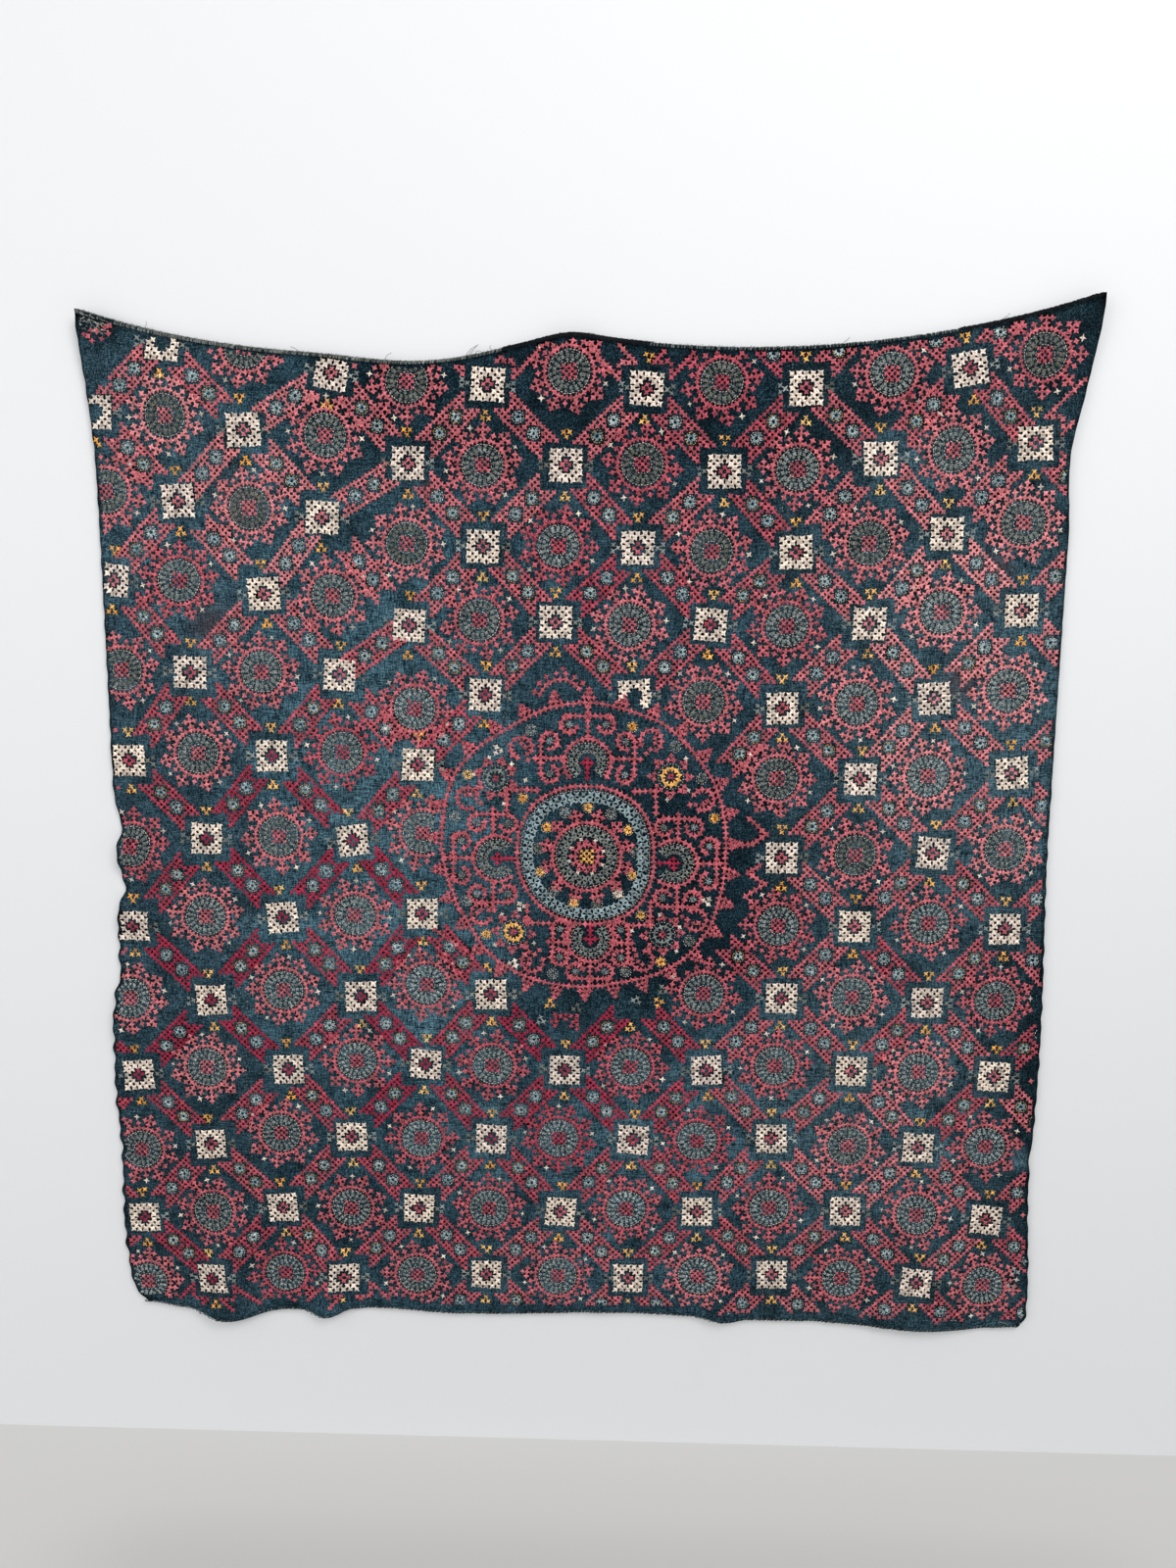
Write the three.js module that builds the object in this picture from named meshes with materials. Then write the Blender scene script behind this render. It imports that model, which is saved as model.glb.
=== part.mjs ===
// Embroidered hanging of indigo handloom cotton.
// One half width and three full loom widths are sewn edge to edge with upright seams.
// The cloth is held at both top corners and near the middle of its top edge, and sags between them.
// Millimetres, +Z up, X across the cloth, -Y towards the viewer.
// The origin is the middle holding point on the top edge.

import * as THREE from 'three';

// Cloth
const CLOTH_THICKNESS = 2;
const SEAM_GAP = 0.3;
const DROP = 1611;
const LOOM_WIDTHS = [
  { name: 'width_1', cut: 220, columns: 5, colour: 0x2b485c },
  { name: 'width_2', cut: 418, columns: 10, colour: 0x315368 },
  { name: 'width_3', cut: 432, columns: 10, colour: 0x2a465a },
  { name: 'width_4', cut: 440, columns: 10, colour: 0x2f4d5c },
];
const CLOTH_WIDTH = LOOM_WIDTHS.reduce((sum, width) => sum + width.cut, 0);
const BODY_ROWS = 44;
const COTTON_ROUGHNESS = 0.92;

// The top and bottom hems are rolled, with an eight-sided section
const HEM_ROLL_DIAMETER = 6;
const HEM_SECTION_ANGLES_DEG = [22.5, 67.5, 112.5, 157.5];

// Top edge: u runs from 0 at the left corner to 1 at the right, z is the height of each held point
const HELD_POINTS = [
  { u: 0, z: 35 },
  { u: 0.49, z: 5.3 },
  { u: 1, z: 60 },
];
const SAGS = [48, 46];
const CREST_ROUNDING = 5;
// The left sag is deepest on the side nearer the middle
const LEFT_SAG_DIP = { u: 0.35, reach: 0.13, below: 13 };
// Shares of the drop over which the sag dies out below the top edge and the waves above the hem
const SAG_FADE = 0.55;
const HEM_WAVE_FADE = 0.12;

// Side edges: a straight line, and the heights where the edge swings out from it (or in, if negative),
// with half the length of each swing and the width of cloth that it moves
const LEFT_EDGE_X = -742;
const LEFT_SWINGS = [
  { at: 35, reach: 240, out: 15, width: 1500 },
  { at: -763, reach: 55, out: -9, width: 130 },
  { at: -815, reach: 60, out: -5, width: 130 },
  { at: -868, reach: 50, out: -9, width: 130 },
  { at: -1010, reach: 40, out: -5, width: 100 },
  { at: -1200, reach: 330, out: 23, width: 1500 },
  { at: -1480, reach: 200, out: 18, width: 900 },
  { at: -1622, reach: 50, out: -34, width: 150 },
];
const RIGHT_EDGE_X = 763;
const RIGHT_SWINGS = [
  { at: 60, reach: 240, out: 27, width: 1500 },
  { at: -190, reach: 110, out: -7, width: 300 },
  { at: -1150, reach: 420, out: 10, width: 1500 },
  { at: -1570, reach: 260, out: 17, width: 900 },
  { at: -1628, reach: 36, out: -18, width: 120 },
];

// Bottom edge: x of the middle of each wave, its half length and how far it hangs below the drop
const HEM_WAVES = [
  { at: -735, reach: 60, below: -8 },
  { at: -580, reach: 105, below: 19 },
  { at: -414, reach: 46, below: 10 },
  { at: -310, reach: 110, below: -6 },
  { at: 90, reach: 240, below: -8 },
  { at: 262, reach: 50, below: 5 },
  { at: 600, reach: 220, below: 9 },
];

// Soft folds: each is a ridge along a line, with its half width and how far it stands proud
const FOLDS = [
  { name: 'left corner pull', from: [-752, 30], to: [-380, -330], half: 75, proud: 8 },
  { name: 'left side pull', from: [-752, 30], to: [-640, -520], half: 60, proud: 6 },
  { name: 'left swag', from: [-600, -70], to: [-150, -95], half: 85, proud: 10 },
  { name: 'middle pull, left', from: [0, 0], to: [-150, -320], half: 65, proud: 6 },
  { name: 'middle pull, right', from: [0, 0], to: [170, -330], half: 70, proud: 6 },
  { name: 'right swag', from: [190, -85], to: [620, -45], half: 85, proud: 8 },
  { name: 'right corner pull', from: [782, 52], to: [400, -270], half: 80, proud: 8 },
  { name: 'right side pull', from: [782, 52], to: [690, -450], half: 60, proud: 6 },
  { name: 'slack of the field', from: [-300, -1000], to: [380, -900], half: 430, proud: 9 },
  { name: 'left ripple, upper', from: [-740, -808], to: [-650, -818], half: 44, proud: 15 },
  { name: 'left ripple, middle', from: [-740, -915], to: [-660, -925], half: 46, proud: 9 },
  { name: 'left ripple, lower', from: [-760, -1090], to: [-680, -1100], half: 70, proud: 8 },
  { name: 'hem flute, far left', from: [-590, -1630], to: [-570, -1480], half: 75, proud: 14 },
  { name: 'hem flute, left', from: [-414, -1620], to: [-405, -1520], half: 44, proud: 10 },
  { name: 'hem flute, middle', from: [262, -1614], to: [255, -1540], half: 48, proud: 7 },
  { name: 'hem flute, right', from: [600, -1620], to: [590, -1460], half: 120, proud: 9 },
];

// A smooth rise from 0 at one reach away to 1 at the middle
function swell(distance, reach) {
  if (Math.abs(distance) >= reach) return 0;
  return Math.cos((Math.PI / 2) * (distance / reach)) ** 2;
}

// One sagging span between two held points, as a shallow parabola
function span(u, start, end, sag) {
  const t = (u - start.u) / (end.u - start.u);
  return THREE.MathUtils.lerp(start.z, end.z, t) - 4 * sag * t * (1 - t);
}

// Height of the top edge: the lower of the two spans, rounded where they meet
function topEdge(u) {
  const left = span(u, HELD_POINTS[0], HELD_POINTS[1], SAGS[0]);
  const right = span(u, HELD_POINTS[1], HELD_POINTS[2], SAGS[1]);
  const crest = (left + right - Math.hypot(left - right, 2 * CREST_ROUNDING)) / 2;
  return crest - LEFT_SAG_DIP.below * swell(u - LEFT_SAG_DIP.u, LEFT_SAG_DIP.reach);
}

function bottomWave(x) {
  return -HEM_WAVES.reduce((sum, wave) => sum + wave.below * swell(x - wave.at, wave.reach), 0);
}

// How far the swings of one side edge move the cloth at a distance inside that edge
function swing(z, inside, swings) {
  let out = 0;
  for (const row of swings) {
    const share = Math.max(0, 1 - inside / row.width);
    out += row.out * share * swell(z - row.at, row.reach);
  }
  return out;
}

// How far the folds lift a point of the cloth towards the viewer
function relief(x, z) {
  let lift = 0;
  for (const fold of FOLDS) {
    const [x0, z0] = fold.from;
    const dx = fold.to[0] - x0;
    const dz = fold.to[1] - z0;
    const along = ((x - x0) * dx + (z - z0) * dz) / (dx * dx + dz * dz);
    const t = THREE.MathUtils.clamp(along, 0, 1);
    lift += fold.proud * swell(Math.hypot(x - x0 - t * dx, z - z0 - t * dz), fold.half);
  }
  return lift;
}

// Rows down the cloth: close together over the rolled hems, even between them
function sheetRows() {
  const radius = HEM_ROLL_DIAMETER / 2;
  const hem = HEM_SECTION_ANGLES_DEG.map((degrees) => {
    const angle = THREE.MathUtils.degToRad(degrees);
    return { down: radius * (1 - Math.cos(angle)), half: radius * Math.sin(angle) };
  });
  const body = [];
  for (let row = 0; row <= BODY_ROWS; row += 1) {
    const down = THREE.MathUtils.lerp(HEM_ROLL_DIAMETER, DROP - HEM_ROLL_DIAMETER, row / BODY_ROWS);
    body.push({ down, half: CLOTH_THICKNESS / 2 });
  }
  const bottomHem = hem.map(({ down, half }) => ({ down: DROP - down, half })).reverse();
  return [...hem, ...body, ...bottomHem];
}

// Where a point of the flat cloth hangs
function hang(across, row, side) {
  const u = across / CLOTH_WIDTH;
  const sagShare = Math.max(0, 1 - row.down / (SAG_FADE * DROP)) ** 2;
  const waveShare = Math.max(0, 1 - (DROP - row.down) / (HEM_WAVE_FADE * DROP)) ** 2;
  const flatX = THREE.MathUtils.lerp(LEFT_EDGE_X, RIGHT_EDGE_X, u);
  const z = -row.down + sagShare * topEdge(u) + waveShare * bottomWave(flatX);
  const leftSwing = swing(z, across, LEFT_SWINGS);
  const rightSwing = swing(z, CLOTH_WIDTH - across, RIGHT_SWINGS);
  const x = flatX - leftSwing + rightSwing;
  return new THREE.Vector3(x, side * row.half - relief(x, z), z);
}

// One loom width: a thin box with a row of points at each level, hung point by point
function loomWidth({ name, columns, colour }, start, end) {
  const rows = sheetRows();
  const lastRow = rows.length - 1;
  const geometry = new THREE.BoxGeometry(1, 1, 1, columns, 1, lastRow);
  const points = geometry.attributes.position;
  for (let i = 0; i < points.count; i += 1) {
    const across = THREE.MathUtils.lerp(start, end, points.getX(i) + 0.5);
    const row = rows[Math.round((0.5 - points.getZ(i)) * lastRow)];
    const hung = hang(across, row, Math.sign(points.getY(i)));
    points.setXYZ(i, hung.x, hung.y, hung.z);
  }
  geometry.computeVertexNormals();
  const cotton = new THREE.MeshStandardMaterial({
    color: colour, roughness: COTTON_ROUGHNESS, metalness: 0,
  });
  const sheet = new THREE.Mesh(geometry, cotton);
  sheet.name = name;
  return sheet;
}

const hanging = new THREE.Group();
let seam = 0;
LOOM_WIDTHS.forEach((width, index) => {
  const start = seam + (index > 0 ? SEAM_GAP / 2 : 0);
  seam += width.cut;
  const end = seam - (index < LOOM_WIDTHS.length - 1 ? SEAM_GAP / 2 : 0);
  hanging.add(loomWidth(width, start, end));
});

export default hanging;
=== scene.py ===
# %% [markdown]
# # An embroidered indigo hanging
# Four strips of handloom cotton, dyed dark blue, are sewn edge to edge and covered with star stitches.
# The cloth hangs from its top corners and from a point near the middle, so its top edge sags in two swags.
# The strips are loaded as plain solids first. Each one is then replaced by a finer sheet with the same
# hang, and every stitch is laid on that sheet as a small raised star of thread.

# %% Load the frame
import math

import bmesh
import bpy
import numpy as np
from mathutils import Matrix, Vector


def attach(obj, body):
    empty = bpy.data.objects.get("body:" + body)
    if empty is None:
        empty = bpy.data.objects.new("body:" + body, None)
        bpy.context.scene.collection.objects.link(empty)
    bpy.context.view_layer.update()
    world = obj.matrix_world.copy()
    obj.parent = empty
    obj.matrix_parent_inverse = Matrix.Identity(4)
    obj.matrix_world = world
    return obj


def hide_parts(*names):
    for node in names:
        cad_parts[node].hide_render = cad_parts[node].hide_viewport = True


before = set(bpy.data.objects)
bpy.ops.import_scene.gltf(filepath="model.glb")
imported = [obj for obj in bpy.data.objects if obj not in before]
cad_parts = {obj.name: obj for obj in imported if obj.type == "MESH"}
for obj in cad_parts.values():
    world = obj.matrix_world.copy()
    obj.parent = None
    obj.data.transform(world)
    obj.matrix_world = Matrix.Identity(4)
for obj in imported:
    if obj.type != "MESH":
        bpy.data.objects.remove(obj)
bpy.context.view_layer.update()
MM = 0.001
scene = bpy.context.scene
hand = np.random.default_rng(11)
print("solids in the frame:", sorted(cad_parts))

# %% [markdown]
# ## Camera
# A camera looks along its own -Z axis, so it is first tipped up to look along +Y and then turned.
# It stands at chest height in front of the cloth, tilted a little down and almost square to it.
# The lens is worked out for a sensor of 36 mm along the tall side of the picture.

# %% Camera
CAMERA_PLACE = Vector((76.9, -1831.7, -414.2)) * MM
CAMERA_LENS = 26.55
CAMERA_TILT = math.radians(8.47)
CAMERA_YAW = math.radians(1.53)
CAMERA_ROLL = math.radians(0.46)

camera = bpy.data.objects.new("camera", bpy.data.cameras.new("camera"))
camera.data.lens = CAMERA_LENS
camera.matrix_world = (
    Matrix.Translation(CAMERA_PLACE)
    @ Matrix.Rotation(CAMERA_YAW, 4, "Z")
    @ Matrix.Rotation(math.pi / 2 - CAMERA_TILT, 4, "X")
    @ Matrix.Rotation(CAMERA_ROLL, 4, "Z")
)
scene.collection.objects.link(camera)
scene.camera = camera
scene.view_settings.view_transform = "Standard"
print("camera at", [round(v, 3) for v in CAMERA_PLACE])

# %% [markdown]
# ## Stage
# The stage is a pale floor and a pale backdrop just behind the cloth, which catches its soft shadow.
# The backdrop is one-sided: from behind it is transparent, and it only exists for the camera, so the
# back of the cloth can be lit and seen as well.

# %% Stage
FLOOR_HEIGHT = -1853 * MM
BACKDROP_DEPTH = 7 * MM
STAGE_SIZE = 9.0
FLOOR_COLOUR = (0.62, 0.61, 0.59, 1)
BACKDROP_COLOUR = (0.85, 0.855, 0.865, 1)
PAPER_ROUGHNESS = 0.9
PAPER_GLOSS = 0.1


def stage_plane(name, matrix, material):
    bm = bmesh.new()
    bmesh.ops.create_grid(bm, x_segments=1, y_segments=1, size=STAGE_SIZE / 2, matrix=matrix)
    mesh = bpy.data.meshes.new(name)
    bm.to_mesh(mesh)
    bm.free()
    mesh.materials.append(material)
    plane = bpy.data.objects.new(name, mesh)
    scene.collection.objects.link(plane)
    return plane


def paper(name, colour):
    material = bpy.data.materials.new(name)
    material.use_nodes = True
    shader = material.node_tree.nodes["Principled BSDF"]
    shader.inputs["Base Color"].default_value = colour
    shader.inputs["Roughness"].default_value = PAPER_ROUGHNESS
    shader.inputs["Specular IOR Level"].default_value = PAPER_GLOSS
    return material


def one_sided(material):
    nodes = material.node_tree.nodes
    links = material.node_tree.links
    mix = nodes.new("ShaderNodeMixShader")
    links.new(nodes.new("ShaderNodeNewGeometry").outputs["Backfacing"], mix.inputs[0])
    links.new(nodes["Principled BSDF"].outputs[0], mix.inputs[1])
    links.new(nodes.new("ShaderNodeBsdfTransparent").outputs[0], mix.inputs[2])
    links.new(mix.outputs[0], nodes["Material Output"].inputs["Surface"])
    return material


level = Matrix.Translation((0, 0, FLOOR_HEIGHT))
stage_plane("floor", level, paper("floor paper", FLOOR_COLOUR))
upright = Matrix.Translation((0, BACKDROP_DEPTH, 0)) @ Matrix.Rotation(math.pi / 2, 4, "X")
backdrop = stage_plane("backdrop", upright, one_sided(paper("backdrop paper", BACKDROP_COLOUR)))
backdrop.visible_diffuse = False
backdrop.visible_glossy = False
backdrop.visible_shadow = False
print("floor", round(FLOOR_HEIGHT, 3), "m below the middle of the top edge")

# %% [markdown]
# ## Light
# Soft light comes from all round, as in a bright room. A large lamp high in front, a little to the
# right, is just strong enough to give each stitch a lit and a shaded side. A lamp behind lights the back.

# %% Light
LAMPS = {
    "key": {"place": (1.3, -2.6, 1.6), "size": 1.6, "watts": 62},
    "fill": {"place": (-2.4, -2.2, 0.2), "size": 2.4, "watts": 26},
    "back": {"place": (-0.8, 3.2, 1.2), "size": 2.4, "watts": 60},
}
AIM = Vector((0, 0, -0.8))
SKY_COLOUR = (0.86, 0.88, 0.9, 1)
SKY_STRENGTH = 0.62

for name, row in LAMPS.items():
    lamp = bpy.data.objects.new(name, bpy.data.lights.new(name, "AREA"))
    lamp.data.size = row["size"]
    lamp.data.energy = row["watts"]
    lamp.location = row["place"]
    lamp.rotation_euler = (AIM - lamp.location).to_track_quat("-Z", "Y").to_euler()
    scene.collection.objects.link(lamp)
sky = bpy.data.worlds.new("sky")
sky.use_nodes = True
sky.node_tree.nodes["Background"].inputs["Color"].default_value = SKY_COLOUR
sky.node_tree.nodes["Background"].inputs["Strength"].default_value = SKY_STRENGTH
scene.world = sky
print("lamps:", ", ".join(LAMPS))

# %% [markdown]
# ## How the cloth hangs
# A real sheet like this could be dropped by a cloth simulation, but the swags and edges of this one are
# known, so they are given one by one. The same held points, swings and folds shape the solids, so the
# finer sheet lies on them, and only small scallops of the side edges are added. All sizes here are
# millimetres. `across` and `down` are measured on the flat cloth, and `x` and `z` on the hanging one.

# %% Held points, side swings and hem waves
CLOTH_THICKNESS = 0.7
DROP = 1611.0
SEAM_GAP = 0.3
LOOM_WIDTHS = {"width_1": 220.0, "width_2": 418.0, "width_3": 432.0, "width_4": 440.0}
CLOTH_WIDTH = sum(LOOM_WIDTHS.values())
# Share of the width and height of each held point, and how far the two swags between them sag
HELD_POINTS = [(0.0, 35.0), (0.49, 5.3), (1.0, 60.0)]
SAGS = [48.0, 46.0]
CREST_ROUNDING = 5.0
LEFT_SAG_DIP = {"u": 0.35, "reach": 0.13, "below": 13.0}
# Shares of the drop over which the sag dies out downwards and the waves of the hem upwards
SAG_FADE = 0.55
HEM_WAVE_FADE = 0.12
LEFT_EDGE_X = -742.0
RIGHT_EDGE_X = 763.0

# Height of each swing, half its length, how far out it goes and the width of cloth that it moves
LEFT_SWINGS = [
    (35, 240, 15, 1500),
    (-763, 55, -9, 130),
    (-815, 60, -5, 130),
    (-868, 50, -9, 130),
    (-1010, 40, -5, 100),
    (-1200, 330, 23, 1500),
    (-1480, 200, 18, 900),
    (-1622, 50, -34, 150),
]
RIGHT_SWINGS = [
    (60, 240, 27, 1500),
    (-190, 110, -7, 300),
    (-1150, 420, 10, 1500),
    (-1306, 22, -4, 40),
    (-1570, 260, 17, 900),
    (-1628, 36, -18, 120),
]
# Scallops of the side edges: depth, wave length and start of two waves that are added up
SCALLOPS = [(1.5, 32.0, 0.0), (1.2, 50.0, 1.0)]
SCALLOP_REACH = 30.0
# They are full below the first height and slight above the second
SCALLOP_HEIGHTS = [-850, -650]
SCALLOP_SHARES = [1.0, 0.3]
RIGHT_SCALLOP_SHARE = 0.45
# Middle of each wave of the bottom hem, half its length and how far it hangs below the drop
HEM_WAVES = [
    (-735, 60, -8),
    (-580, 105, 19),
    (-414, 46, 10),
    (-310, 110, -6),
    (90, 240, -8),
    (262, 50, 5),
    (600, 220, 9),
]
print("the flat cloth is", CLOTH_WIDTH, "by", DROP, "mm")

# %% [markdown]
# Soft folds run out from the held points, along the swags and up from the bottom hem. Each one is a
# ridge along a straight line.

# %% Main folds
# From x, z to x, z, half width, and how far the cloth stands proud
FOLDS = [
    (-752, 30, -380, -330, 75, 8),
    (-752, 30, -640, -520, 60, 6),
    (-600, -70, -150, -95, 85, 10),
    (0, 0, -150, -320, 65, 6),
    (0, 0, 170, -330, 70, 6),
    (190, -85, 620, -45, 85, 8),
    (782, 52, 400, -270, 80, 8),
    (782, 52, 690, -450, 60, 6),
    (-300, -1000, 380, -900, 430, 9),
    (-740, -808, -650, -818, 44, 15),
    (-740, -915, -660, -925, 46, 9),
    (-760, -1090, -680, -1100, 70, 8),
    (-590, -1630, -570, -1480, 75, 14),
    (-414, -1620, -405, -1520, 44, 10),
    (262, -1614, 255, -1540, 48, 7),
    (600, -1620, 590, -1460, 120, 9),
]
print(len(FOLDS), "main folds")

# %% [markdown]
# Between the main folds the cloth has small creases, from years of being folded away and from the pull
# of the stitching. They are the same kind of soft ridge, or a trough where the last number is negative.

# %% Creases
CREASES = [
    (-700, -180, -520, -260, 26, 2.2),
    (-640, -330, -470, -300, 30, -1.8),
    (-560, -40, -430, -150, 22, 1.6),
    (-330, -60, -230, -190, 24, 1.8),
    (-60, -40, -210, -180, 18, 1.4),
    (70, -40, 230, -200, 20, 1.5),
    (330, -70, 430, -220, 24, -1.5),
    (640, -40, 520, -190, 24, 1.8),
    (740, -60, 610, -330, 22, 1.6),
    (-735, -640, -560, -660, 30, 2.0),
    (-735, -760, -520, -745, 20, -2.2),
    (-735, -865, -540, -880, 22, -2.4),
    (-735, -985, -590, -1000, 30, 2.0),
    (-745, -1230, -560, -1250, 34, 1.8),
    (-520, -1590, -500, -1440, 26, -2.4),
    (-340, -1600, -330, -1470, 30, -2.0),
    (-190, -1605, -180, -1500, 28, 1.6),
    (60, -1600, 70, -1490, 40, 1.6),
    (420, -1610, 430, -1480, 32, -2.0),
    (705, -1605, 690, -1480, 30, -1.8),
    (755, -1290, 640, -1270, 24, 1.8),
    (738, -1272, 744, -1332, 9, -2.6),
    (760, -1280, 762, -1326, 10, 2.4),
    (755, -700, 600, -720, 34, 1.4),
    (755, -1010, 620, -1000, 30, 1.4),
]
print(len(CREASES), "small creases")

# %% [markdown]
# `hang` takes points of the flat cloth to their places across and up on the hanging one. Like all the
# helpers here it takes whole arrays of points, which is far quicker than one point at a time.

# %% Hang points of the cloth
def swell(distance, reach):
    """A smooth rise from 0 at one reach away to 1 at the middle."""
    share = np.clip(np.abs(distance) / reach, 0, 1)
    return np.cos(math.pi / 2 * share) ** 2


def bump(x, z, at_x, at_z, reach_x, reach_z):
    """A soft bump on the cloth: 1 at its place and 0 beyond its reach."""
    return swell(x - at_x, reach_x) * swell(z - at_z, reach_z)


def span(u, start, end, sag):
    """One swag between two held points, as a shallow parabola."""
    t = (u - start[0]) / (end[0] - start[0])
    return start[1] + (end[1] - start[1]) * t - 4 * sag * t * (1 - t)


def top_edge(u):
    """Height of the top edge: the lower of two swags, rounded where they meet."""
    left = span(u, HELD_POINTS[0], HELD_POINTS[1], SAGS[0])
    right = span(u, HELD_POINTS[1], HELD_POINTS[2], SAGS[1])
    crest = (left + right - np.hypot(left - right, 2 * CREST_ROUNDING)) / 2
    dip = LEFT_SAG_DIP["below"] * swell(u - LEFT_SAG_DIP["u"], LEFT_SAG_DIP["reach"])
    return crest - dip


def swing(z, inside, swings):
    """How far a side edge swings out, felt at a distance inside that edge."""
    return sum(out * np.maximum(0, 1 - inside / width) * swell(z - at, reach)
               for at, reach, out, width in swings)


def scallops(z, inside):
    wave = sum(depth * np.sin(2 * math.pi * z / length + start) for depth, length, start in SCALLOPS)
    share = np.interp(z, SCALLOP_HEIGHTS, SCALLOP_SHARES)
    return share * wave * np.maximum(0, 1 - inside / SCALLOP_REACH)


def hang(across, down):
    """Where points of the flat cloth hang: x and z."""
    u = across / CLOTH_WIDTH
    sag_share = np.maximum(0, 1 - down / (SAG_FADE * DROP)) ** 2
    wave_share = np.maximum(0, 1 - (DROP - down) / (HEM_WAVE_FADE * DROP)) ** 2
    flat_x = LEFT_EDGE_X + (RIGHT_EDGE_X - LEFT_EDGE_X) * u
    wave = sum(below * swell(flat_x - at, reach) for at, reach, below in HEM_WAVES)
    z = -down + sag_share * top_edge(u) - wave_share * wave
    x = flat_x - swing(z, across, LEFT_SWINGS) + swing(z, CLOTH_WIDTH - across, RIGHT_SWINGS)
    x = x - scallops(z, across) + RIGHT_SCALLOP_SHARE * scallops(z, CLOTH_WIDTH - across)
    return x, z


corner_x, corner_z = hang(np.array([0.0, CLOTH_WIDTH]), np.zeros(2))
print("top corners hang at x", corner_x.round(), "z", corner_z.round())

# %% [markdown]
# The stitches are charted on the hanging cloth, so `lay_flat` goes back to the flat one, by a few steps
# towards the answer. `relief` adds up all folds and creases, and says how far they lift each point.

# %% Lay points flat again, and lift them by the folds
FLATTENING_STEPS = 12


def lay_flat(x, z):
    """The reverse of hang: across and down."""
    across = (x - LEFT_EDGE_X) / (RIGHT_EDGE_X - LEFT_EDGE_X) * CLOTH_WIDTH
    down = -z
    for _ in range(FLATTENING_STEPS):
        hung_x, hung_z = hang(across, down)
        across = across + x - hung_x
        down = down - z + hung_z
    return across, down


def relief(x, z):
    """How far the folds and creases lift a point towards the viewer."""
    lift = np.zeros_like(x)
    for x0, z0, x1, z1, half, proud in FOLDS + CREASES:
        dx, dz = x1 - x0, z1 - z0
        t = np.clip(((x - x0) * dx + (z - z0) * dz) / (dx * dx + dz * dz), 0, 1)
        lift = lift + proud * swell(np.hypot(x - x0 - t * dx, z - z0 - t * dz), half)
    return lift


print("the corners are lifted", relief(corner_x, corner_z).round(1), "mm")

# %% [markdown]
# ## The stitched lattice
# Rosettes and cream squares alternate on a lattice, and a slanting bar lies between each pair of squares.
# The maker worked without a ruler and the cloth is pulled at its corners, so the rows drift. Each drift
# is a soft bump of the lattice: where it is, how far it reaches, and how far it moves the rows.

# %% Lattice
LATTICE_ORIGIN = (-11.0, -74.0)
LATTICE_PITCH = (119.0, 122.0)
MIDDLE_COLUMN = 6
ROWS = range(-1, 14)
COLUMNS = range(-1, 14)
# Place x, z, reach x, z, and how far it moves the pattern right and up
DRIFTS = [
    (-780, -250, 640, 820, 0, 80),
    (-390, -420, 170, 420, 0, 26),
    (-300, -760, 330, 420, 0, 24),
    (780, -200, 480, 1150, 0, 42),
    (150, -1100, 700, 420, 0, 10),
    (-780, -1420, 420, 620, 0, -32),
    (-450, -180, 300, 260, -22, 0),
    (-400, -950, 300, 430, 15, 0),
    (180, -480, 260, 200, -12, 0),
    (-200, -1540, 330, 120, -12, 0),
    (-660, -20, 330, 420, -27, 19),
    (0, -60, 112, 110, 10, 20),
    (-130, -74, 90, 90, 6, -7),
    (-487, -74, 105, 100, 13, 6),
    (560, -70, 170, 160, 8, -2),
    (703, -74, 110, 110, 2, 9),
    (-370, -60, 100, 110, 12, 0),
    (-370, -200, 110, 115, 0, 15),
    (-190, -380, 300, 210, -11, 5),
    (-250, -560, 110, 100, 0, -17),
    (430, -900, 270, 480, -10, 5),
    (-330, -1130, 480, 180, 4, 10),
    (-250, -1050, 100, 100, 0, 12),
]
print(len(DRIFTS), "drifts of the lattice")

# %% [markdown]
# Single motifs also stand off their row, because each was worked by eye. The drift turns a motif as well,
# so its turn is measured between places a little to both sides of it.

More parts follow.
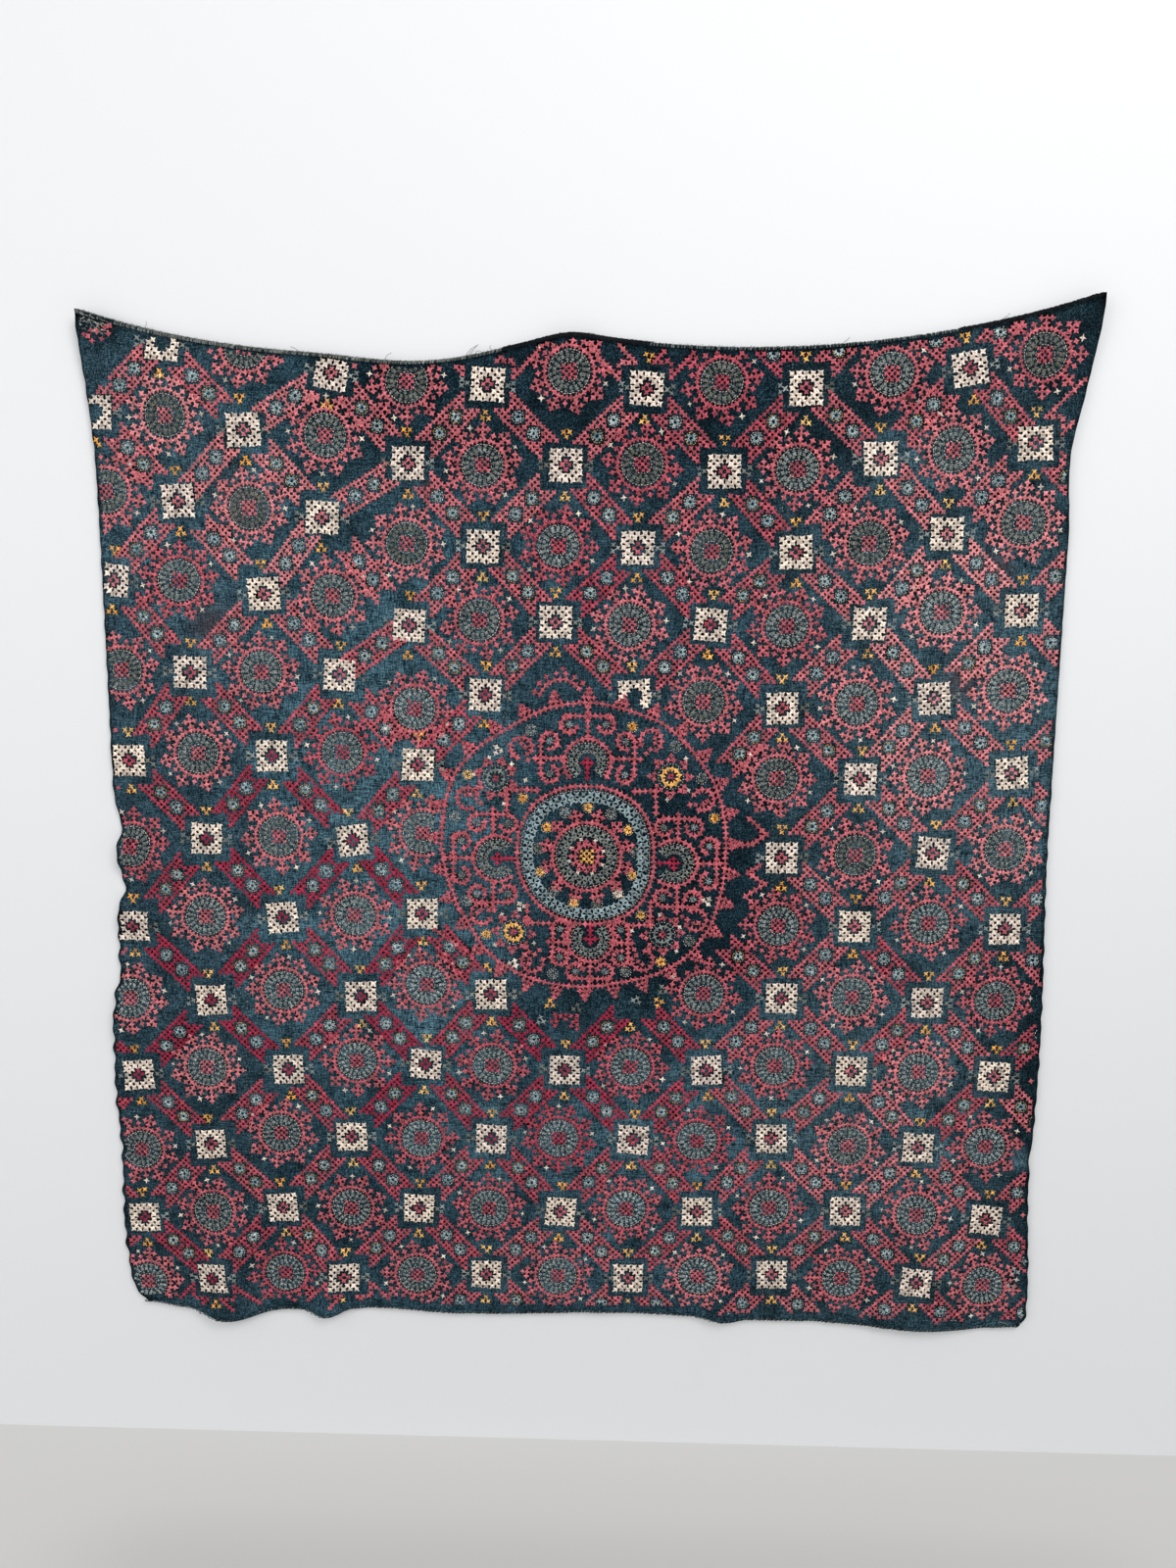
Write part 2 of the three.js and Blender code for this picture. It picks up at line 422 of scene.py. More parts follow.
# %% Places of the motifs
# Row and column of a motif, and how far right and up it stands
SLIPS = {
    (0, 1): (7, -15), (0, 3): (1, -5), (0, 5): (-4, 6), (0, 6): (-4, 0), (0, 7): (3, -5),
    (0, 8): (0, 5), (0, 9): (9, -4), (0, 10): (14, 8), (0, 11): (5, 0), (1, 0): (5, -8),
    (1, 1): (4, 0), (1, 2): (8, 0), (1, 3): (5, -2), (1, 5): (-9, 4), (1, 6): (0, 4),
    (1, 7): (-2, 4), (1, 8): (6, -3), (1, 10): (4, 6), (1, 11): (-5, 2), (2, 0): (4, 4),
    (2, 2): (-5, 4), (2, 3): (-9, 3), (2, 4): (0, -4), (2, 6): (-8, 3), (2, 7): (-4, 2),
    (2, 8): (-9, -2), (2, 9): (0, -5), (2, 10): (-6, 0), (2, 11): (-6, 0), (2, 12): (-12, 6),
    (3, 1): (-11, 11), (3, 3): (-5, -1), (3, 4): (0, -10), (3, 5): (-7, 5), (3, 6): (-9, 8),
    (3, 7): (-6, 7), (3, 8): (0, 7), (3, 9): (-7, 6), (3, 11): (-8, 5), (3, 12): (-7, -2),
    (4, 0): (6, -4), (4, 1): (-2, 4), (4, 2): (-6, 6), (4, 4): (0, -7), (4, 5): (-6, 9),
    (4, 7): (0, 18), (4, 8): (-10, 9), (4, 9): (-9, 0), (4, 10): (-13, -1), (4, 11): (-13, -4),
    (4, 12): (-17, 0), (5, 0): (11, -10), (5, 1): (5, 9), (5, 2): (4, 4), (5, 3): (-4, 5),
    (5, 9): (-11, 8), (5, 11): (-14, -3), (5, 12): (-4, -3), (6, 0): (10, -10), (6, 1): (12, 6),
    (6, 2): (5, 5), (6, 3): (7, -1), (6, 4): (6, 12), (6, 12): (-8, 2), (7, 0): (7, -6),
    (7, 1): (4, 12), (7, 2): (5, 7), (7, 3): (2, 4), (7, 4): (3, 7), (7, 9): (0, 4),
    (7, 10): (5, 5), (7, 11): (0, 7), (8, 0): (-4, 5), (8, 1): (9, -1), (8, 2): (2, 7),
    (8, 3): (9, -5), (8, 4): (5, 2), (8, 8): (-7, 9), (8, 9): (7, 3), (8, 10): (3, 8),
    (8, 11): (5, 0), (8, 12): (-8, 6), (9, 1): (-4, 7), (9, 2): (8, -4), (9, 3): (6, 6),
    (9, 4): (4, 0), (9, 6): (4, -4), (9, 7): (-6, 4), (9, 9): (-4, 9), (9, 10): (6, 3),
    (9, 11): (-6, 6), (9, 12): (-4, 2), (10, 2): (0, 11), (10, 6): (-5, 0), (10, 8): (-12, 2),
    (10, 9): (-6, 6), (10, 12): (-9, 4), (11, 3): (0, -7), (11, 4): (-3, -4), (11, 5): (-4, -4),
    (11, 6): (-3, -6), (11, 7): (-11, 2), (11, 8): (-8, 0), (11, 9): (-7, 8), (11, 10): (4, 6),
    (11, 11): (0, 6), (11, 12): (0, -4), (12, 1): (-4, 4), (12, 3): (-7, -9), (12, 4): (0, -4),
    (12, 7): (-5, 0), (12, 8): (-6, 7), (12, 9): (0, 11), (12, 10): (0, 6), (12, 11): (4, 7),
}
PLACE_SLIP = 1.0
TURN_SLIP = math.radians(2.5)
TURN_STEP = 0.3


def lattice(row, column):
    """Centre of a motif. Row and column may be fractions."""
    even_x = LATTICE_ORIGIN[0] + LATTICE_PITCH[0] * (column - MIDDLE_COLUMN)
    even_z = LATTICE_ORIGIN[1] - LATTICE_PITCH[1] * row
    x, z = even_x, even_z
    for at_x, at_z, reach_x, reach_z, right, up in DRIFTS:
        share = bump(even_x, even_z, at_x, at_z, reach_x, reach_z)
        x = x + right * share
        z = z + up * share
    return np.array([x, z]) + SLIPS.get((row, column), (0, 0))


def lattice_turn(row, column):
    """How far the drift turns a motif."""
    sideways = lattice(row, column + TURN_STEP) - lattice(row, column - TURN_STEP)
    upwards = lattice(row - TURN_STEP, column) - lattice(row + TURN_STEP, column)
    return (math.atan2(sideways[1], sideways[0]) - math.atan2(upwards[0], upwards[1])) / 2


corner_turn = round(math.degrees(lattice_turn(1, 1)), 1)
print("lattice corner", lattice(0, 0).round(), "turned", corner_turn, "degrees")

# %% [markdown]
# ## A basket of stitches
# There are more than thirty thousand stitches, far too many to be objects of their own. Each motif only
# drops rows of numbers into a basket: place, turn, size and how faded its thread is. One joined mesh for
# each colour is made from them at the end. A star is a stitch with four arms. A run is one short straight
# stitch, as in a dashed circle.

# %% Basket
stars = {}
runs = {}


def at(centre, turn, points):
    """Points of a motif, turned and moved to its centre."""
    c, s = math.cos(turn), math.sin(turn)
    return np.asarray(points, dtype=float) @ np.array([[c, s], [-s, c]]) + centre


def drop(basket, piece, places, turn, size, age):
    places = np.atleast_2d(np.asarray(places, dtype=float))
    columns = [np.broadcast_to(value, len(places)) for value in (turn, size, age)]
    basket.setdefault(piece, []).append(np.column_stack([places, *columns]))


def sew(piece, places, turn=0.0, size=1.0, age=0.5):
    drop(stars, piece, places, turn, size, age)


def run(piece, places, turn, length, age=0.5):
    drop(runs, piece, places, turn, length, age)


def directions(angles):
    return np.column_stack([np.cos(angles), np.sin(angles)])


def circle(centre, radius, count, start=0.0):
    """Places round a circle, and the angle of each."""
    angles = start + 2 * math.pi * np.arange(count) / count
    return centre + radius * directions(angles), angles


def sew_ring(piece, centre, ring, start=0.0, slant=0.0, age=0.5):
    """A ring of stars. The ring is its radius, count and size of stitch."""
    radius, count, size = ring
    places, angles = circle(centre, radius, count, start)
    sew(piece, places, angles + slant, size, age)


def run_ring(piece, centre, ring, start=0.0, age=0.5):
    """A dashed circle. The ring is its radius, count and length of dash."""
    radius, count, length = ring
    places, angles = circle(centre, radius, count, start)
    run(piece, places, angles + math.pi / 2, length, age)


print("a ring of four stitches:", circle(np.zeros(2), 1, 4)[0].round(2).tolist())

# %% [markdown]
# ## Thread colours drift too
# The red was not dyed in one bath and has faded unevenly. It is pink at the upper left and down the
# right side, and a deep crimson below the middle. At the left the rosettes were worked in a pinker
# thread than the bars. `age` runs from 0, deep, to 1, faded, and each motif differs a little.

# %% Age of the thread
# Place x, z, reach x, z, and how much more faded the bars and the rosettes are there
RED_BATHS = [
    (-480, -230, 480, 430, 0.42, 0.34),
    (590, -470, 360, 560, 0.65, 0.55),
    (-500, -900, 520, 450, -0.38, 0.22),
    (-620, -1200, 300, 300, -0.16, 0.28),
    (-40, -1180, 430, 360, -0.30, -0.20),
    (500, -1300, 420, 460, 0.22, 0.18),
    (-700, -1540, 320, 220, -0.30, 0.12),
    (0, -1570, 420, 120, 0.20, 0.30),
]
AGE_BASE = {"bars": 0.30, "rosettes": 0.36}
AGE_SLIP = 0.08


def thread_age(kind, centre):
    age = AGE_BASE[kind]
    for at_x, at_z, reach_x, reach_z, bars, rosettes in RED_BATHS:
        amount = bars if kind == "bars" else rosettes
        age += amount * bump(*centre, at_x, at_z, reach_x, reach_z)
    return float(np.clip(age + hand.normal(0, AGE_SLIP), 0, 1))


print(len(RED_BATHS), "places where the red differs")

# %% [markdown]
# ## Cream squares
# A square is a ring of slanting crosses in two rows. The second row stands in the gaps of the first, so
# small dark holes stay open between them. One more stitch inside each corner makes the opening a diamond,
# and a red heart of four stitches fills it. Three yellow stitches stand above and below the square, and
# three grey ones at each side, always with one stitch towards it.

# %% Squares and their triads
QUARTER = math.pi / 2
EIGHTH = math.pi / 4
HALF_STEP = 5.3
SQUARE_STITCH = 1.1
HEART_REACH = 6.0
HEART_STITCH = 0.85
TRIAD_ABOVE = 46.0
TRIAD_BESIDE = 35.0
TRIAD_STITCH = 0.95
TRIAD = np.array([(-4.9, 3.7), (4.9, 3.7), (0, -4.0)])


def square_row(reach):
    """Places along the four sides of a square, two half steps apart."""
    steps = range(-reach, reach + 1, 2)
    return [(a, b) for a in steps for b in steps if max(abs(a), abs(b)) == reach]


inner_corners = [(a, b) for a in (-2, 2) for b in (-2, 2)]
SQUARE = np.array(square_row(4) + square_row(3) + inner_corners) * HALF_STEP


def sew_triad(piece, centre, turn):
    sew(piece, at(centre, turn, TRIAD), turn + EIGHTH, TRIAD_STITCH, hand.uniform())


def sew_square(centre, turn, hearted):
    sew("squares_cream", at(centre, turn, SQUARE), turn + EIGHTH, SQUARE_STITCH, hand.uniform())
    heart, angles = circle(centre, HEART_REACH, 4, turn)
    if hearted:
        sew("squares_red", heart, angles + EIGHTH, HEART_STITCH, thread_age("bars", centre))
    for side in range(4):
        colour, reach = (("grey", TRIAD_BESIDE), ("yellow", TRIAD_ABOVE))[side % 2]
        facing = turn + side * QUARTER
        middle = at(centre, facing, [(reach, 0)])[0]
        sew_triad(f"triads_{colour}", middle, facing - QUARTER)


print(len(SQUARE), "cream stitches in a square")

# %% [markdown]
# ## Rosettes
# From the middle: a block of thirteen red stitches, a dashed circle, a grey ring with teeth on both
# sides like a gear, a second dashed circle, and a red ring that carries eight or nine petals of five
# stitches with a spike between them. Four single cream stitches sit outside the ring. The grey is paler
# and its ring more open further down the cloth.

# %% Rosettes
BLOCK_STEP = 4.4
BLOCK_STITCH = 0.7
BLOCK_AGE_SHARE = 0.7
INNER_DASHES = (14.0, 19, 3.0)
OUTER_DASHES = (31.4, 42, 3.5)
# Radius, count, slant and size of the stars: inner teeth, solid row and outer teeth
GREY_ROWS = [(17.9, 13, 0.0, 0.55), (23.0, 20, EIGHTH, 0.76), (28.3, 20, 0.0, 0.6)]
GREY_AGE, GREY_AGE_GAIN, GREY_AGE_SLIP = 0.25, 0.6, 0.25
# Between these heights the grey stitches get smaller, down to this share
LACE_FROM, LACE_TO = -500.0, -1250.0
LACE_SIZE = 0.92
RED_RING = (38.0, 34, 0.92)
PETAL_COUNTS = [8, 9]
PETAL_STEP = 7.5
PETAL_STITCH = 0.95
PETAL_REACH = 52.5
SPIKE_REACH = 47.0
CREAM_REACH, CREAM_COUNT, CREAM_STITCH, CREAM_AGE = 57.5, 4, 0.88, 0.2
nine = [(a, b) for a in (-2, 0, 2) for b in (-2, 0, 2)]
four = [(a, b) for a in (-1, 1) for b in (-1, 1)]
BLOCK = np.array(nine + four) * BLOCK_STEP
PETAL = np.array([(-1, 0), (0, 0), (1, 0), (0, -1), (0, 1)]) * PETAL_STEP


def sew_rosette(centre, turn):
    age = thread_age("rosettes", centre)
    grey_age = np.clip(hand.normal(GREY_AGE - GREY_AGE_GAIN * centre[1] / DROP, GREY_AGE_SLIP), 0, 1)
    petals = hand.choice(PETAL_COUNTS)
    start = turn + hand.uniform(0, QUARTER)
    sew("rosettes_red", at(centre, turn, BLOCK), turn + EIGHTH, BLOCK_STITCH, age * BLOCK_AGE_SHARE)
    run_ring("rosettes_dashes", centre, INNER_DASHES, start)
    lace = np.interp(centre[1], [LACE_TO, LACE_FROM], [LACE_SIZE, 1])
    for radius, count, slant, size in GREY_ROWS:
        sew_ring("rosettes_grey", centre, (radius, count, size * lace), start, slant, grey_age)
    run_ring("rosettes_dashes", centre, OUTER_DASHES, start)
    sew_ring("rosettes_red", centre, RED_RING, start, 0, age)
    for place, angle in zip(*circle(centre, PETAL_REACH, petals, start)):
        sew("rosettes_red", at(place, angle, PETAL), angle, PETAL_STITCH, age)
    between = start + math.pi / petals
    sew_ring("rosettes_red", centre, (SPIKE_REACH, petals, PETAL_STITCH), between, 0, age)
    gaps = between + 2 * math.pi / petals * np.rint(np.arange(CREAM_COUNT) * petals / CREAM_COUNT)
    turns = hand.uniform(0, QUARTER, CREAM_COUNT)
    sew("rosettes_cream", centre + CREAM_REACH * directions(gaps), turns, CREAM_STITCH, CREAM_AGE)


print(len(BLOCK), "red stitches in the middle of a rosette and", len(PETAL), "in a petal")

# %% [markdown]
# ## Bars
# A bar is six stitches wide. Its ends are cut like a swallow's tail, so each row is longer than the row
# inside it. Two blue flowers with a dashed ring are set into it, and the red stitches leave room for them.
# Some bars that run off the top or the bottom of the cloth are slim: only their outline is worked.

# %% Bars
BAR_PITCH = 6.9
BAR_STITCH = 0.86
SLIM_STITCH = 0.92
# Rows of a bar, in steps from its middle line, and how many steps each reaches to both sides
BAR_ROWS = {-2.5: 7, -1.5: 6, -0.5: 5, 0.5: 5, 1.5: 6, 2.5: 7}
FLOWER_APART = 17.3
FLOWER_ROOM = 13.0
FLOWER_REACH, FLOWER_STITCH = 4.7, 0.70
FLOWER_PETALS = [5, 6]
FLOWER_DASHES = (9.0, 14, 2.8)
FLOWER_RINGS = {"flower_rings_cream": 0.6, "flower_rings_yellow": 0.4}

bar_steps = [(step, row) for row, reach in BAR_ROWS.items() for step in range(-reach, reach + 1)]
outer_row = max(BAR_ROWS)
slim_steps = [(step, row) for step, row in bar_steps
              if abs(row) == outer_row or abs(step) == BAR_ROWS[row]]
BAR = np.array(bar_steps) * BAR_PITCH
SLIM_BAR = np.array(slim_steps) * BAR_PITCH
to_flowers = [np.hypot(BAR[:, 0] - side * FLOWER_APART, BAR[:, 1]) for side in (-1, 1)]
BAR = BAR[np.minimum(*to_flowers) > FLOWER_ROOM]


def sew_flower(centre, turn):
    petals = hand.choice(FLOWER_PETALS)
    sew_ring("flowers_blue", centre, (FLOWER_REACH, petals, FLOWER_STITCH), turn, EIGHTH, hand.uniform())
    ring = hand.choice(list(FLOWER_RINGS), p=list(FLOWER_RINGS.values()))
    run_ring(ring, centre, FLOWER_DASHES, turn, hand.uniform())


def sew_bar(lean, centre, turn):
    sew(f"{lean}_bars_red", at(centre, turn, BAR), turn, BAR_STITCH, thread_age("bars", centre))
    for side in (-1, 1):
        sew_flower(at(centre, turn, [(side * FLOWER_APART, 0)])[0], turn + hand.uniform(0, 1))


def sew_slim_bar(lean, centre, turn):
    sew(f"{lean}_bars_red", at(centre, turn, SLIM_BAR), turn, SLIM_STITCH, thread_age("bars", centre))


print(len(BAR), "red stitches in a bar and", len(SLIM_BAR), "in a slim one")

# %% [markdown]
# ## Sew the field
# A motif near the medallion is left out, or cut by its rim, and the bars fall between the squares. Three
# cut squares have no red heart, and both top corners are left free.

# %% Field
MEDALLION = np.array([27.0, -804.0])
RIM_CENTRE = MEDALLION + (0, 14)
MOTIF_CLEARANCE = 270.0
# The rim is no true circle: its distance from the middle every 15 degrees, from the right upwards
RIM_RADII = [222, 228, 235, 239, 246, 244, 248, 246, 241, 247, 250, 240,
             233, 226, 222, 227, 225, 220, 217, 216, 225, 232, 230, 224]
FIELD_CLEARANCE = 15.0
# A square and a rosette that the rim cuts
RIM_CUTS = [(4, 7), (6, 4)]
HEARTLESS = [(0, 1), (1, 0), (4, 7)]
FREE_CORNERS = [(0, 0), (-1, 12)]
# Slim bars: those left of a column in the first and the last row, and one at the right side
SLIM_LEFT_OF = {-1: 8, 12: 4}
SLIM_AT_SIDE = (0, 12)


def slipped(centre):
    return centre + hand.normal(0, PLACE_SLIP, 2)


def in_medallion(centre):
    return np.hypot(*(centre - RIM_CENTRE)) < MOTIF_CLEARANCE


def round_trip(angles, values):
    """A value that changes smoothly once round the medallion, from values given at even angles."""
    even = np.linspace(0, 2 * math.pi, len(values), endpoint=False)
    return np.interp(angles, even, values, period=2 * math.pi)


for row in ROWS:
    for column in COLUMNS:
        centre = slipped(lattice(row, column))
        turn = lattice_turn(row, column) + hand.normal(0, TURN_SLIP)
        if in_medallion(centre) and (row, column) not in RIM_CUTS:
            continue
        if (row + column) % 2:
            sew_square(centre, turn, (row, column) not in HEARTLESS)
        elif (row, column) not in FREE_CORNERS:
            sew_rosette(centre, turn)

for row in ROWS:
    for column in COLUMNS:
        if (row + column) % 2:
            lean, first, second = "falling", lattice(row, column), lattice(row + 1, column + 1)
        else:
            lean, first, second = "rising", lattice(row, column + 1), lattice(row + 1, column)
        centre = slipped((first + second) / 2)
        turn = math.atan2(*(second - first)[::-1])
        if in_medallion(centre) or (row, column) in FREE_CORNERS[1:]:
            continue
        if column < SLIM_LEFT_OF.get(row, -1) or (row, column) == SLIM_AT_SIDE:
            sew_slim_bar(lean, centre, turn)
        else:
            sew_bar(lean, centre, turn)
print({piece: sum(map(len, rows)) for piece, rows in stars.items()})

# %% [markdown]
# ## Odd scraps of pattern
# Where the lattice leaves a gap the maker filled it freely. There is a red sprig at the top left with some
# grey darning above it, a spot of bright red darning at the top right, a red squiggle with two forked arms
# below the medallion, and a few loose triads.

# %% Scraps
SPRIG_PLACE = np.array([-725.0, -1.0])
SPRIG = [(-19, -2), (-13, -4), (-7, -11), (-8, 4), (1, 3), (8, -8), (12, 9), (19, 12), (17, 0)]
SQUIGGLE_PLACE = np.array([-6.0, -1079.0])
SQUIGGLE = [(-23, -3), (-18, -10), (-15, -3), (-17, 10), (-16, 4), (-8, 7), (0, 9), (0, 2), (9, 7),
            (19, 8), (18, 0), (12, -4), (20, -9), (19, -16), (10, -11)]
# Place x, z and turn in degrees of the loose triads
LOOSE_TRIADS = {
    "yellow": [(-32, -1051, 180), (101, -1089, 180), (148, -1046, 100)],
    "grey": [(-85, -1035, 90), (-45, -1081, 70), (13, -1057, 170), (111, -1042, 160),
             (153, -1024, 190), (757, -1512, 80), (752, -1540, 110)],
}
# Size and age of the red stitches
SPRIG_THREAD = (0.86, 0.3)
SQUIGGLE_THREAD = (0.84, 0.15)
DARNING_FROM = np.array([-755.0, 25.0])
DARNING_REACH = (46.0, 17.0)
DARNING_SLOPE = -0.28
DARNING_COUNTS = {"darning_grey": 60, "darning_cream": 14}
DARNING_TURN, DARNING_TURN_SLIP = -0.9, 0.7
DARNING_LENGTHS = (3, 6)
RED_DARN = np.array([510.0, -85.0])
RED_DARN_TURN = 1.0
RED_DARN_LINES = range(-3, 4)
RED_DARN_PITCH, RED_DARN_LENGTH = 1.2, 7.5

sew("falling_bars_red", SPRIG_PLACE + SPRIG, hand.uniform(0, QUARTER, len(SPRIG)), *SPRIG_THREAD)
turns = hand.uniform(0, QUARTER, len(SQUIGGLE))
sew("falling_bars_red", SQUIGGLE_PLACE + SQUIGGLE, turns, *SQUIGGLE_THREAD)
for colour, rows in LOOSE_TRIADS.items():
    for x, z, degrees in rows:
        sew_triad(f"triads_{colour}", np.array([x, z]), math.radians(degrees))
for piece, count in DARNING_COUNTS.items():
    along = hand.uniform(0, DARNING_REACH[0], count)
    below = hand.uniform(0, DARNING_REACH[1], count)
    places = DARNING_FROM + np.column_stack([along, DARNING_SLOPE * along - below])
    turns = hand.normal(DARNING_TURN, DARNING_TURN_SLIP, count)
    lengths = hand.uniform(*DARNING_LENGTHS, count)
    run(piece, places, turns, lengths, hand.uniform(0, 1))
lines = at(RED_DARN, RED_DARN_TURN, [(0, line * RED_DARN_PITCH) for line in RED_DARN_LINES])
run("darning_red", lines, RED_DARN_TURN, RED_DARN_LENGTH, 0.0)
print("scraps:", len(SPRIG), "and", len(SQUIGGLE), "red stitches")

# %% [markdown]
# ## The medallion
# The medallion is built from rings, arcs and lines of the same stitches, worked a little larger and
# wider apart. The blue ring was drawn freehand, so it is squarer than a circle: `BLUE_BULGE` says how
# far it stands out every 45 degrees, from the right upwards.

# %% Medallion lines
MEDALLION_AGE = 0.34
LINE_PITCH = 8.3
LINE_STITCH = 1.05
BALL = (4.7, 5, 0.72)
BALL_DASHES = (8.6, 13, 2.2)


def sew_red(places, turn, size=LINE_STITCH, age=MEDALLION_AGE):
    sew("medallion_red", places, turn, size, age)


def sew_arc(centre, radius, start, sweep):
    count = max(2, round(radius * abs(sweep) / LINE_PITCH) + 1)
    angles = start + np.linspace(0, sweep, count)
    sew_red(centre + radius * directions(angles), angles)


def sew_line(first, last, age=MEDALLION_AGE):
    first, last = np.asarray(first, dtype=float), np.asarray(last, dtype=float)
    reach = last - first
    count = max(2, round(np.hypot(*reach) / LINE_PITCH) + 1)
    points = first + np.linspace(0, 1, count)[:, None] * reach
    sew_red(points, math.atan2(reach[1], reach[0]), age=age)


def bulging(radius, count, bulge, start=0.0):
    """Places round the middle of the medallion, on a ring that bulges as the given list says."""
    angles = circle(MEDALLION, radius, count, start)[1]
    out = radius + round_trip(angles, bulge)
    return MEDALLION + out[:, None] * directions(angles), angles


def full_ring(piece, radius, count, size=LINE_STITCH, slant=0.0, bulge=(0,)):
    places, angles = bulging(radius, count, bulge)
    sew(piece, places, angles + slant, size, MEDALLION_AGE)


def close_count(radius, pitch=LINE_PITCH):
    return round(2 * math.pi * radius / pitch)


def sew_ball(colour, place):
    sew_ring(f"medallion_{colour}", place, BALL, hand.uniform(0, 1), 0, hand.uniform())
    run_ring("medallion_dashes", place, BALL_DASHES, hand.uniform(0, 1))


print("a ring of 50 mm has", close_count(50), "stitches")

# %% [markdown]
# The rings follow from the middle outwards: a yellow block, a red ring with teeth and cream stitches, two
# grey rows, a red ring with petals, a ring of balls, and the two blue rows with red round them.

# %% Medallion rings
BLUE_BULGE = [-6, 3, 0, 6, -1, -2, -2, 3]
HEART_TEETH = (25.0, 12, 0.86)
HEART_CREAM = (29.0, 8, 0.75)
HEART_CREAM_START = 0.3
HEART_RING = 18.5
GREY_RINGS, GREY_RING_COUNT, GREY_RING_STITCH = (36.0, 44.0), 27, 1.12
GREY_DASHES = (49.6, 66, 2.8)
PETAL_RING, PETAL_RING_PITCH = 55.5, 8.0
# Radius, count and first angle of the petals
MEDALLION_PETALS = (68.0, 12, 0.26)
MEDALLION_PETAL = PETAL * 0.95
BALL_RING, BALL_START = 79.5, 0.1
BALL_COLOURS = ["grey", "yellow"] * 5 + ["grey", "cream", "yellow"]
BLUE_RINGS, BLUE_COUNT, BLUE_STITCH = (91.5, 100.5), 58, 1.26
BLUE_DASHES = (106.6, 150, 2.8)
OUTER_RING, OUTER_RING_PITCH, OUTER_RING_STITCH = 113.5, 8.2, 1.0

sew("medallion_yellow", at(MEDALLION, 0, BLOCK), EIGHTH, BLOCK_STITCH)
full_ring("medallion_red", HEART_RING, close_count(HEART_RING))
sew_ring("medallion_red", MEDALLION, HEART_TEETH, 0, 0, MEDALLION_AGE)
sew_ring("medallion_cream", MEDALLION, HEART_CREAM, HEART_CREAM_START, EIGHTH)
for radius in GREY_RINGS:
    full_ring("medallion_grey", radius, GREY_RING_COUNT, GREY_RING_STITCH, EIGHTH)
run_ring("medallion_dashes", MEDALLION, GREY_DASHES)
full_ring("medallion_red", PETAL_RING, close_count(PETAL_RING, PETAL_RING_PITCH))
for place, angle in zip(*circle(MEDALLION, *MEDALLION_PETALS)):
    sew_red(at(place, angle, MEDALLION_PETAL), angle, PETAL_STITCH)
ball_places = circle(MEDALLION, BALL_RING, len(BALL_COLOURS), BALL_START)[0]
for colour, place in zip(BALL_COLOURS, ball_places):
    sew_ball(colour, place)
for radius in BLUE_RINGS:
    full_ring("medallion_blue", radius, BLUE_COUNT, BLUE_STITCH, EIGHTH, BLUE_BULGE)
radius, count, length = BLUE_DASHES
places, angles = bulging(radius, count, BLUE_BULGE)
run("medallion_dashes", places, angles + QUARTER, length)
outer_count = close_count(OUTER_RING, OUTER_RING_PITCH)
full_ring("medallion_red", OUTER_RING, outer_count, OUTER_RING_STITCH, 0, BLUE_BULGE)
print("inner rings:", sum(map(len, stars["medallion_red"])), "red stitches")

# %% [markdown]
# Each of the four arms is drawn once, pointing up, and turned to its place. The maker did not measure, so
# each arm has its own shift to the side and its own share of the height and of the width. A hook is an
# open ring of red stitches round a pale dot.

# %% Medallion arms
# Shift to the side, share of the height and share of the width: top, left, bottom and right arm
ARMS = [(0, 1.0, 1.0), (-5.6, 0.955, 0.96), (-7, 0.9, 0.82), (9, 0.925, 0.96)]
# Place beside the trunk and up it, first angle and sweep in degrees
ARM_HOOKS = [(29.5, 212.5, 78, -238), (61, 186, 0, 275), (60, 133, 0, -245)]
HOOK_RADIUS = 13.0
DOT = (2.2, 4, 0.5)
DOT_DASHES = (4.8, 8, 2.0)
DOT_COLOURS = ("grey", "blue")


def arm_place(side, beside, out):
    shift, tall, broad = ARMS[side]
    return at(MEDALLION, side * QUARTER, [(shift + beside * broad, out * tall)])[0]


def arm_line(side, first, last, age=MEDALLION_AGE):
    sew_line(arm_place(side, *first), arm_place(side, *last), age)


def sew_dot(colour, place):
    sew_ring(f"medallion_{colour}", place, DOT, hand.uniform(0, 2), EIGHTH, hand.uniform())
    run_ring("medallion_dashes", place, DOT_DASHES, hand.uniform())


def sew_hook(side, beside, out, start, sweep, mirror):
    place = arm_place(side, mirror * beside, out)
    first = math.radians(start if mirror > 0 else 180 - start)
    sew_arc(place, HOOK_RADIUS, side * QUARTER + first, mirror * math.radians(sweep))
    sew_dot(DOT_COLOURS[hand.integers(2)], place)


print("the top arm ends at", arm_place(0, 0, 240).round())

# %% [markdown]
# The trunk of an arm grows from a grey horseshoe with a deep red bud in it. A red arc goes round the
# horseshoe, and straight lines and the hooks finish both sides alike.

# %% Horseshoes, trunks and hooks
HORSESHOE_OUT = 152.0
# Radius and size of the grey rows, then the stitches of a full round and those that are worked
HORSESHOE_ROWS = {18.0: 11 / 13, 26.0: 1.0}
HORSESHOE_ROUND, HORSESHOE_WORKED, HORSESHOE_START = 19, 15, -0.7
HORSESHOE_DASHES = (31.5, 38, 2.8)
DASHES_WORKED, DASHES_START = 30, -0.8
HORSESHOE_ARC, ARC_START = 37.5, -0.65
BUD = [(-7, -1), (0, 0), (7, -1), (0, 6)]
BUD_STITCH, BUD_AGE = 0.95, 0.0
BUD_STEM = ((0, 127), (0, 144))
TRUNK_LINES = [((0, 194), (0, 240)), ((-36, 226), (36, 226))]
SIDE_LINES = [((75, 133), (75, 186)), ((42, 158), (83, 158))]


